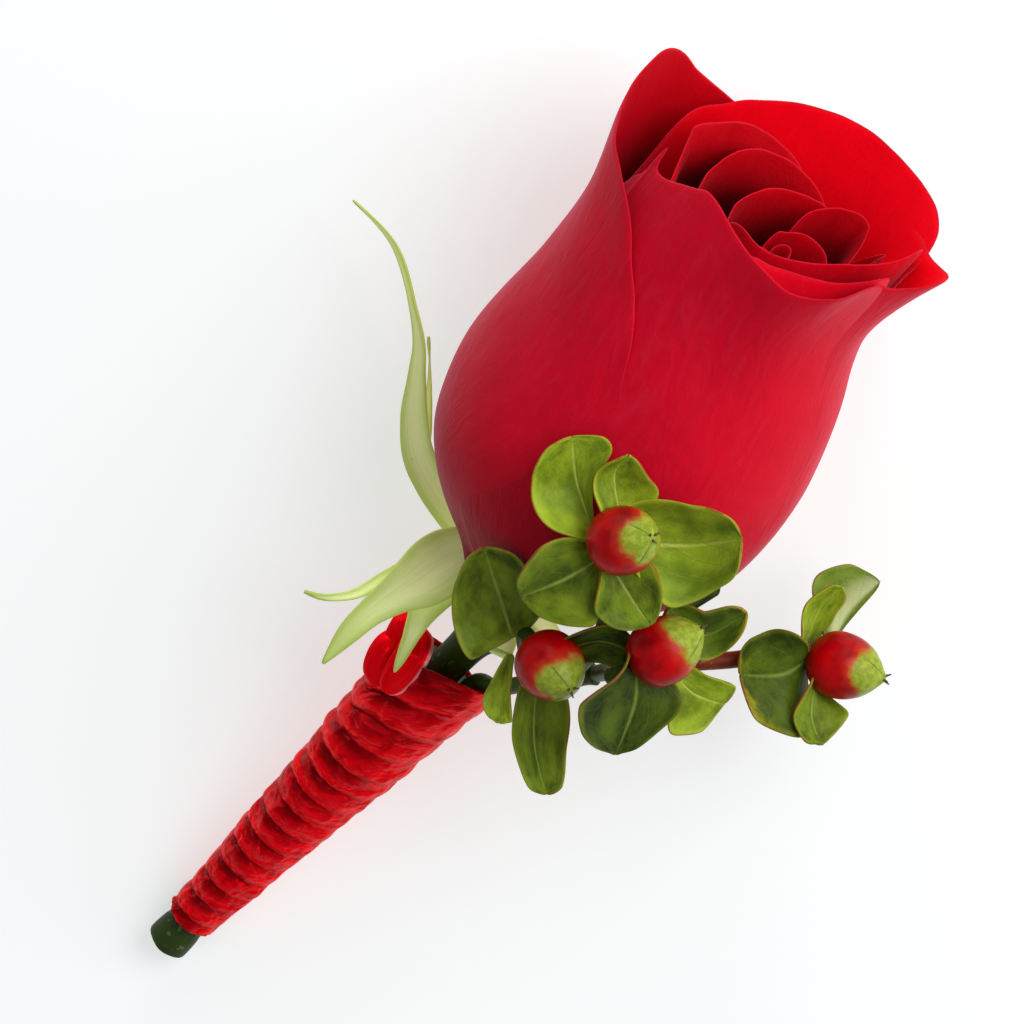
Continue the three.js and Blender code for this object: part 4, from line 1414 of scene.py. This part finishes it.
@dataclass(frozen=True)
class Cluster:
    """A berry and the whorl of leaves behind it.

    Attributes:
        berry: The berry's middle.
        axis: Where the berry points.
        face: Where its leaves look.
        ripe: The share of the berry's length that is red.
        leaves: Its leaves.
        foot: From the berry's middle back to where the stalk meets it.
        bud_gap: How far the leaves stay from the bud.
        half_length: Half the length of the room that the leaves leave for the berry.
        room: The radius of that room.
    """

    berry: Spot
    axis: Spot
    face: Spot
    ripe: float
    leaves: tuple[Leaf, ...]
    foot: float = 4.8
    bud_gap: float = 1.5
    half_length: float = 5.2
    room: float = 4.02

    @property
    def line(self) -> Vector:
        """Unit vector along the berry."""
        return Vector(self.axis).normalized()

    @property
    def root(self) -> Vector:
        """Where the stalk meets the berry."""
        return Vector(self.berry) - self.line * self.foot

    def clear_of(self, point: Vector) -> Vector:
        """Bends a point of a leaf clear of the bud and of the berry.

        Args:
            point: The point on the leaf as it would lie unbent.

        Returns:
            The point on the bent leaf.
        """
        height = point.dot(BUD)
        out = point - on_bud(0, 0, height)
        sunk = along(BUD_PROFILE, height) + self.bud_gap - out.length
        if height > 0 and sunk > -1:
            lift = sunk if sunk > 1 else (sunk + 1) ** 2 / 4
            point = point + EYE * (lift / max(0.4, out.normalized().z))
        line = self.line
        away = point - Vector(self.berry)
        reach = away.dot(line) / self.half_length
        if abs(reach) > 1:
            return point
        aside = away - line * away.dot(line)
        short = self.room * math.sqrt(1 - reach ** 6) - aside.length
        way = (aside.normalized() * line.z - EYE * (1 - line.z)).normalized()
        return point + way * max(0.0, short) * smooth(reach, -0.3, 0.2)


CLUSTERS = [
    Cluster((12.4, 5.6, 36.4), (0.6, 0.08, 0.8), (0.1, -0.5, 0.85), 0.78, (
        Leaf(-13, 22, 12, 0.06,
             [[0, 0.8], [0.1, 2.2], [0.3, 5.3], [0.6, 4.9], [0.8, 3.9], [1, 2]],
             [[0, 0.4], [0.2, 0.5], [0.4, 1.4], [0.6, 3.1], [0.75, 4.1], [0.9, 3.5], [1, 2]],
             (0.4, 0.5, 0), Tone.FRESH),
        Leaf(8, 34, 7.9, 0.04, [[0, 2.2], [0.3, 2.6], [0.55, 2.1], [0.8, 1], [1, 0.2]],
             [[0, 3.8], [0.25, 4.6], [0.5, 4], [0.7, 2.7], [0.88, 1.3], [1, 0.3]],
             (2.8, 2.8, 2.2), Tone.FRESH, 8),
        Leaf(89, 5, 14.1, -0.06,
             [[0, 1.5], [0.2, 4.5], [0.47, 5.8], [0.63, 5.4], [0.78, 4.5], [0.92, 3], [1, 1]],
             [[0, 0.8], [0.15, 2.2], [0.3, 5.5], [0.42, 6.8], [0.69, 5.4], [0.88, 3.9], [1, 1]],
             (1.7, 0.4, 1.8), Tone.FRESH),
        Leaf(-116, -8, 9.8, 0.04,
             [[0, 0.6], [0.14, 1.4], [0.33, 4.8], [0.48, 6.2], [0.65, 5.3], [0.86, 3.5],
              [1, 1.6]],
             [[0, 1], [0.1, 2.2], [0.3, 4.6], [0.53, 5.5], [0.68, 4.4], [0.85, 2.8], [1, 1.2]],
             (1.2, -1.2, 0.4)),
        Leaf(146, -14, 8.6, 0.1,
             [[0, 0.8], [0.15, 2.2], [0.3, 3.6], [0.6, 3.6], [0.9, 1.6], [1, 0.6]],
             [[0, 0.8], [0.15, 2.2], [0.4, 4], [0.68, 3.6], [0.89, 2], [1, 0.6]],
             (1.5, -1.6, 1.8)))),
    Cluster((4.8, -8.2, 21.5), (0.44, -0.5, 0.74), (-0.2, -0.35, 0.9), 0.76, (
        Leaf(-17, 30, 11.9, -0.04,
             [[0, 4.2], [0.1, 5.7], [0.31, 5.8], [0.6, 4.8], [0.79, 3.3], [0.95, 1.6],
              [1, 0.8]],
             [[0, 1.2], [0.14, 2.9], [0.38, 4.8], [0.6, 4.8], [0.84, 3.6], [0.97, 2], [1, 1]],
             (-1.7, 0.2, 0)),
        Leaf(176, -8, 14.8, -0.06,
             [[0, 0.8], [0.2, 3.1], [0.42, 4.1], [0.7, 3.3], [0.88, 2.3], [1, 1.4]],
             [[0, 0.8], [0.2, 2], [0.5, 2.4], [0.7, 2.2], [0.88, 1.8], [1, 1.2]],
             (1, -2.2, 0)),
        Leaf(-171, -12, 7.7, 0.1, [[0, 0.5], [0.4, 0.9], [0.94, 1.5], [1, 1]],
             [[0, 0.5], [0.4, 1.3], [0.6, 1.85], [0.75, 1.8], [0.9, 1.2], [1, 0.6]],
             (-2, -1.6, 0), Tone.FRESH))),
    Cluster((17, -6, 25.5), (0.84, 0.46, 0.3), (0.3, -0.5, 0.8), 0.72, (
        # Three leaves here take the darkest tone: painted shade where they lie in shadow under and
        # behind the berry.
        Leaf(-174, -18, 12.9, 0.08,
             [[0, 1.5], [0.3, 3.3], [0.5, 5], [0.6, 5], [0.74, 3.7], [0.9, 2], [1, 0.7]],
             [[0, 2.5], [0.08, 4.2], [0.24, 6.4], [0.45, 7.4], [0.62, 7], [0.76, 5.8],
              [0.83, 4.6], [0.94, 2.2], [1, 0.7]], (0.8, 3.4, 0.6), Tone.DARK),
        Leaf(124, -20, 9.5, -0.08,
             [[0, 0.3], [0.12, 0.8], [0.25, 1.8], [0.47, 2.4], [0.68, 2.85], [0.88, 2.75],
              [1, 2]],
             [[0, 0.3], [0.2, 1], [0.36, 3], [0.54, 5], [0.71, 4.6], [0.9, 3.6], [1, 2.4]],
             (4, 1.5, -4), Tone.FRESH),
        Leaf(80, -6, 9, 0.12,
             [[0, 0.8], [0.15, 2.4], [0.41, 3.7], [0.76, 2.8], [0.93, 1.4], [1, 0.5]],
             [[0, 0.5], [0.2, 1.6], [0.46, 2.8], [0.7, 2.8], [0.9, 1.5], [1, 0.5]],
             (4.7, 4.9, 0), Tone.WORN),
        Leaf(51, -14, 8.5, 0.04, [[0, 0.8], [0.5, 1.4], [0.9, 1], [1, 0.5]],
             [[0, 0.8], [0.5, 1.4], [0.9, 1], [1, 0.5]], (4.2, 4.2, 0), Tone.DARK),
        Leaf(-88, -12, 10, 0.06, [[0, 1.5], [0.4, 2.6], [0.8, 2], [1, 0.8]],
             [[0, 1.5], [0.4, 2.2], [0.8, 1.8], [1, 0.8]], (2, 1.4, -1), Tone.DARK))),
    Cluster((37, -8.4, 10), (0.92, -0.28, 0.25), (0.4, 0, 0.9), 0.69, (
        Leaf(-104, 10, 7.8, 0.05,
             [[0, 1.6], [0.1, 4.6], [0.26, 6.8], [0.46, 7.2], [0.7, 6.2], [0.88, 5.1],
              [1, 3.6]],
             [[0, 2.2], [0.08, 3.7], [0.26, 5], [0.53, 5.2], [0.77, 4.3], [0.87, 3.4],
              [1, 1.8]], (1.2, -0.6, 0.6), Tone.WORN),
        Leaf(177, 8, 7.9, 0.05,
             [[0, 0.4], [0.2, 1.8], [0.34, 3.2], [0.48, 4.3], [0.63, 3.6], [0.79, 2.1],
              [0.9, 1.1], [1, 0.6]],
             [[0, 1.2], [0.2, 2.2], [0.4, 2.5], [0.67, 2.4], [0.92, 1.9], [1, 1.4]],
             (2.2, -2.3, 1.4)),
        Leaf(31, 16, 8.3, 0.1,
             [[0, 1], [0.12, 1.9], [0.37, 2.3], [0.6, 2], [0.88, 1.2], [1, 0.8]],
             [[0, 1.6], [0.17, 2.4], [0.37, 2.3], [0.56, 1.9], [0.79, 1.5], [0.93, 0.8],
              [1, 0.4]], (0.8, 0.3, 0), Tone.FRESH),
        # This leaf's pale band is a painted highlight where its curled surface catches the light.
        Leaf(36, -8, 11, 0.08,
             [[0, 0.1], [0.2, 1.6], [0.27, 3.4], [0.34, 4.8], [0.47, 5.4], [0.64, 5.4],
              [0.87, 4], [0.97, 2.6], [1, 2]],
             [[0, 0.6], [0.5, 1], [0.8, 0.7], [1, 0.2]], (3, -1.1, -2), Tone.PAINTED_SHEEN, 0, 0.02))),
]

BERRY_PROFILE = [
    [0, 0.35], [0.03, 1.5], [0.1, 2.5], [0.24, 3.45], [0.42, 3.7], [0.6, 3.45], [0.76, 2.75],
    [0.87, 1.85], [0.95, 0.95], [1, 0.35],
]


@dataclass
class HypericumSprig(SubAssembly):
    """The sprig: its forked stem, the leaves and the four berries."""

    stalk: float = 0.95
    stalk_swell: float = 0.35
    beside_stem: float = 3.5
    leaf_thick: float = 0.3
    berry_length: float = 9.0
    styles_per_berry: int = 3

    def build(self) -> None:
        """Makes the stalks, the leaves and the berries."""
        self.stalks()
        for i, cluster in enumerate(CLUSTERS):
            for k, leaf in enumerate(cluster.leaves):
                self.leaf(f"leaf_{i + 1}_{k + 1}", cluster, leaf, 5.0 * i + k)
            self.berry(i + 1, cluster)
            self.styles(i + 1, cluster)

    def stalks(self) -> None:
        """Makes the sprig's stem and the stalk of each berry."""
        green = StalkFinish("stalk_green", srgb(62, 84, 22), srgb(34, 48, 12), 0.4).build()
        brown = StalkFinish("stalk_brown", srgb(124, 48, 22), srgb(84, 26, 12), 0.8).build()
        side = LAY.stem_side * self.beside_stem
        foot, mouth = stem_at(20) + side, stem_at(12.2) + side
        fork, outer = (3, -10.2, 4.5), (9.5, -9.2, 8.5)
        paths = [
            ("sprig_stem", [foot, mouth, (-1.2, -11, -1.4), fork, (6.4, -10, 6.8), outer], green),
            ("stalk_1", [fork, (7, -8.8, 10.4), (10, -5, 19.6), (10.4, 0.4, 27.2)], green),
            ("stalk_2", [fork, (2.4, -8.6, 10.4)], green),
            ("stalk_3", [outer, (11.4, -8.6, 15)], green),
            ("stalk_4", [outer, (16, -8.2, 9), (25, -7.6, 8.2)], brown),
        ]
        for k, (name, path, finish) in enumerate(paths):
            if k:
                cluster = CLUSTERS[k - 1]
                path = [*path, cluster.root - cluster.line * 2, cluster.root]
            bm = self.tube(14, 40, lambda t, path=path: Vector(through(path, t)),
                           lambda s, t: self.stalk + self.stalk_swell * smooth(t, 0.9, 1))
            self.keep(name, bm, [finish], "leaf", ("hypericum_sprig",) if k == 0 else ())

    def leaf(self, name: str, cluster: Cluster, leaf: Leaf, seed: float) -> None:
        """Makes one leaf.

        Args:
            name: Its name.
            cluster: The whorl it grows in.
            leaf: Its shape.
            seed: Picks its own pattern.
        """
        toward = direction(90 - leaf.turn, leaf.rise)
        axis, face = cluster.line, Vector(cluster.face).normalized()
        outward = (toward - axis * toward.dot(axis)).normalized()
        root = cluster.root - axis * 1.1 + Vector(leaf.at)
        spread = 0.22 + 0.2 * max(0.0, toward.dot(axis))
        middle = root + (outward * spread + toward * 0.3 - face * leaf.bow * 0.5) * leaf.length
        blade = Blade([root, middle, root + toward * leaf.length], (axis, face), leaf.outline,
                      cluster.clear_of, twist_by=0.6, fold=leaf.fold, cup=leaf.cup, wave=0.4,
                      seed=seed, steady=0.8)
        finish = LeafFinish(f"{name}_green", leaf.tone, seed).build()

        def place(s: float, t: float) -> Vector:
            """The leaf's point, its rows closer together near both ends."""
            return blade.place(s, t - math.sin(math.tau * t) * 0.1)

        bm = self.skin(20, 34, place, face)
        self.keep(name, bm, [finish], "leaf", thick=self.leaf_thick, levels=1, offset=0)

    def berry(self, number: int, cluster: Cluster) -> None:
        """Makes one berry.

        Args:
            number: Which berry.
            cluster: Where it sits.
        """
        turn = cluster.line.to_track_quat("Z", "Y").to_matrix()
        base = Vector(cluster.berry) - cluster.line * self.berry_length / 2

        def place(s: float, t: float) -> Vector:
            """The berry's point, with three lobes near its tip.

            Args:
                s: Share of the way round it.
                t: Share of its length.

            Returns:
                The point.
            """
            a = math.tau * s
            r = along(BERRY_PROFILE, t) * (1 + 0.02 * math.cos(3 * a) * smooth(t, 0.5, 0.9))
            return base + turn @ Vector((r * math.cos(a), r * math.sin(a), t * self.berry_length))

        bm = close(self.skin(40, 32, place))
        finish = BerryFinish(f"berry_{number}_skin", cluster.ripe, number * 0.21).build()
        self.keep(f"berry_{number}", bm, [finish], "berry", (f"hypericum_berry_{number}",))

    def styles(self, number: int, cluster: Cluster) -> None:
        """Makes the dry styles at a berry's point.

        Args:
            number: Which berry.
            cluster: Where it sits.
        """
        turn = cluster.line.to_track_quat("Z", "Y").to_matrix()
        tip = Vector(cluster.berry) + cluster.line * self.berry_length / 2
        bm = bmesh.new()
        for k in range(self.styles_per_berry):
            a = math.tau * k / self.styles_per_berry + number
            lean = turn @ Vector((math.cos(a), math.sin(a), 0))
            foot = tip - cluster.line * 0.35 + lean * 0.15
            end = tip + cluster.line * 0.5 + lean * 0.7
            ahead = (end - foot).to_track_quat("Z", "Y").to_matrix().to_4x4()
            bmesh.ops.create_cone(
                bm, cap_ends=True, segments=8, radius1=0.2, radius2=0.07,
                depth=(end - foot).length,
                matrix=ROW @ Matrix.Translation((foot + end) / 2) @ ahead)
        self.keep(f"berry_styles_{number}", bm, [DryFinish(f"dry_{number}").build()], "berry")


# ---- The ribbon --------------------------------------------------------------------------------
@dataclass
class RibbonWrap(SubAssembly):
    """The satin ribbon: one strip wound from the stem's end up to the sepals, and its end.

    Attributes:
        top: From the hip down to the wrap's upper edge.
        bottom: From the hip down to its lower edge.
        top_radius: The wrap's radius at its upper edge.
        bottom_radius: The same at its lower edge.
        turns: How often the strip goes round.
        width: The strip's width, laid flat.
        covers: How many turns its width spans on the wrap.
        thick: Its thickness.
        climb: How far its last turn stands up at the front.
    """

    top: float = 15.2
    bottom: float = 63.7
    top_radius: float = 6.5
    bottom_radius: float = 3.1
    turns: int = 15
    width: float = 10.0
    covers: float = 2.55
    thick: float = 0.12
    climb: float = 5.6

    def build(self) -> None:
        """Makes the wound strip and its loose end, and dresses the tape under them."""
        self.strip(SatinFinish().build())
        self.ends(SatinFinish("satin_end", turns=0.3, tuck_shade=0.0, crush_and_shade=0.25).build(),
                  SatinFinish("satin_flap", turns=0.3, tuck_shade=0.0, crush_and_shade=0.3, pale_line=1.0).build())
        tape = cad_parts["stem_binding"]
        tape.data.materials.clear()
        tape.data.materials.append(TapeFinish().build())

    def body(self, share: float) -> float:
        """The wrap's radius at a share of its height."""
        return self.bottom_radius + (self.top_radius - self.bottom_radius) * share

    def proud(self, s: float, a: float, crumple: float) -> float:
        """How far the strip stands proud of the wrap's radius where the wrap is widest.

        Args:
            s: Place across the strip, from the edge that the next turn covers.
            a: Angle round the stem, in radians.
            crumple: How the satin is crumpled there.

        Returns:
            The distance.
        """
        hidden = 1 - 1 / self.covers
        shown = clamp((s - hidden) / (1 - hidden))
        puff = math.sin(math.pi * shown) ** 0.8
        tucked = max(0.0, math.cos(a - 1.1)) ** 2
        tuck = tucked * (1 - puff) * 0.26
        puff *= 0.5 + 0.5 * tucked
        lies = -0.74 + 0.3 * min(s / hidden, 1.0) + 0.22 * shown + 0.34 * puff - tuck
        return lies + crumple * (0.7 + puff * 0.5)

    def place(self, s: float, t: float) -> Vector:
        """The strip's point.

        Args:
            s: Share of the way across it.
            t: Share of its length.

        Returns:
            The point.
        """
        pitch = (self.bottom - self.top) / self.turns
        wound = t * self.turns
        distance = self.bottom - pitch * (wound + 0.5) + (s - 0.5) * self.covers * pitch
        distance = min(max(distance, self.top), self.bottom)
        share = (self.bottom - distance) / (self.bottom - self.top)
        a = math.tau * wound
        spot = Vector((math.cos(a) * 9, math.sin(a) * 9, distance * 0.6))
        crumple = ripple(spot, 4.0, 3.0) * 0.3 + ripple(spot, 5.0, 1.3) * 0.26
        radius = self.body(share) + (0.55 + 0.45 * share) * self.proud(s, a, crumple)
        front = max(0.0, math.cos(a - 2.3)) ** 0.7 * smooth(share, 0.66, 1)
        across = STEM_TURN @ Vector((math.cos(a), math.sin(a), 0))
        return stem_at(distance - front * self.climb) + across * (radius + front * 0.5)

    def strip(self, finish: bpy.types.Material) -> None:
        """Makes the wound strip.

        Args:
            finish: Its material.
        """
        bm = self.skin(14, self.turns * 76, self.place)
        bmesh.ops.recalc_face_normals(bm, faces=bm.faces)
        probe = next(iter(bm.faces))
        if probe.normal.dot(probe.calc_center_median() - ROW @ stem_at(self.bottom)) < 0:
            bmesh.ops.reverse_faces(bm, faces=bm.faces)
        piece = self.keep("ribbon_strip", bm, [finish], "ribbon", ("ribbon_wrap",), self.thick)
        length = sum(math.tau * self.body((k + 0.5) / self.turns) for k in range(self.turns))

    def ends(self, plain: bpy.types.Material, pale_lined: bpy.types.Material) -> None:
        """Makes the ribbon's folded end at the top left.

        Args:
            plain: The material of its folds.
            pale_lined: The material of the flap in front, with a pale line along one side.
        """
        loops = [([[-10.3, -2.6, -3.6], [-11.5, -4.6, -2.6], [-12.9, -7, -3.6]], 1.9, 1.9, plain),
                 ([[-11.6, -5.2, -4], [-13.6, -7.2, -2.8], [-15.2, -10.6, -4.6]], 2.2, 2, plain),
                 ([[-9.6, -4.2, -2.8], [-10.9, -7.4, -0.8], [-13.8, -11.6, -2.6]], 2.2, 1.8,
                  pale_lined)]
        for i, (rib, left, right, finish) in enumerate(loops):
            blade = Blade(rib, (EYE, EYE),
                          lambda t, u, left=left, right=right: (left if u < 0 else right)
                          * max(0.05, 1 - abs(2 * t - 1) ** 3) ** 0.5,
                          cup=-0.35, wave=0.15, seed=40 + i)
            bm = self.skin(18, 28, blade.place, EYE)
            self.keep(f"ribbon_end_{i + 1}", bm, [finish], "ribbon", thick=0.16, levels=1,
                      offset=0)


# ---- The studio --------------------------------------------------------------------------------
@dataclass
class Studio:
    """The table, the light and the camera.

    Attributes:
        eye: The camera's place.
        lens: Its focal length.
        aim: What the lights look at.
        room_light: The strength of the room's own light.
        lamps: Each lamp's name, place, side in metres and power in watts.
    """

    eye: Spot = (0.44, 8.56, 632.0)
    lens: float = 200.0
    aim: Spot = (4.0, 10.0, 15.0)
    room_light: float = 0.36
    lamps: tuple[tuple[str, Spot, float, float], ...] = (
        ("key_light", (320, 120, 550), 0.4, 2.9),
        ("side_light", (560, -60, 160), 0.5, 1.4),
        ("top_light", (60, 600, 360), 0.4, 1.7),
    )

    def build(self) -> None:
        """Makes the table, the lights and the camera."""
        self.table()
        self.lights()
        self.camera()

    def table(self) -> None:
        """Makes the pale table."""
        bm = bmesh.new()
        bmesh.ops.create_grid(bm, x_segments=2, y_segments=2, size=3.0)
        mesh = bpy.data.meshes.new("table")
        bm.to_mesh(mesh)
        bm.free()
        mesh.materials.append(FloorFinish().build())
        add("table", mesh)

    def lights(self) -> None:
        """Adds the room's own light and the soft lamps that look at the posy."""
        world = bpy.data.worlds.new("room")
        bpy.context.scene.world = world
        world.use_nodes = True
        room = world.node_tree.nodes["Background"]
        room.inputs["Color"].default_value = (1.0, 1.0, 1.0, 1.0)
        room.inputs["Strength"].default_value = self.room_light
        for name, spot, size, power in self.lamps:
            data = bpy.data.lights.new(name, "AREA")
            data.size = size
            data.energy = power
            lamp = add(name, data)
            place = ROW @ Vector(spot)
            turn = (ROW @ Vector(self.aim) - place).to_track_quat("-Z", "Y").to_matrix()
            lamp.matrix_world = Matrix.Translation(place) @ turn.to_4x4()

    def camera(self) -> None:
        """Adds the camera, square to the plane that the posy was laid out in."""
        data = bpy.data.cameras.new("camera")
        data.lens = self.lens
        data.sensor_width = 36.0
        data.clip_start, data.clip_end = 0.01, 20.0
        camera = add("camera", data)
        turn = ROW.to_3x3() @ Matrix.Scale(1 / MM, 3)
        camera.matrix_world = Matrix.Translation(ROW @ Vector(self.eye)) @ turn.to_4x4()
        bpy.context.scene.camera = camera


def main() -> None:
    """Builds every sub-assembly in order."""
    bpy.context.scene.view_settings.view_transform = "Standard"
    for part in (RoseBloom(), RoseStem(), HypericumSprig(), RibbonWrap(), Studio()):
        LOG.info("building %s", type(part).__name__)
        part.build()


if __name__ == "__main__":
    main()
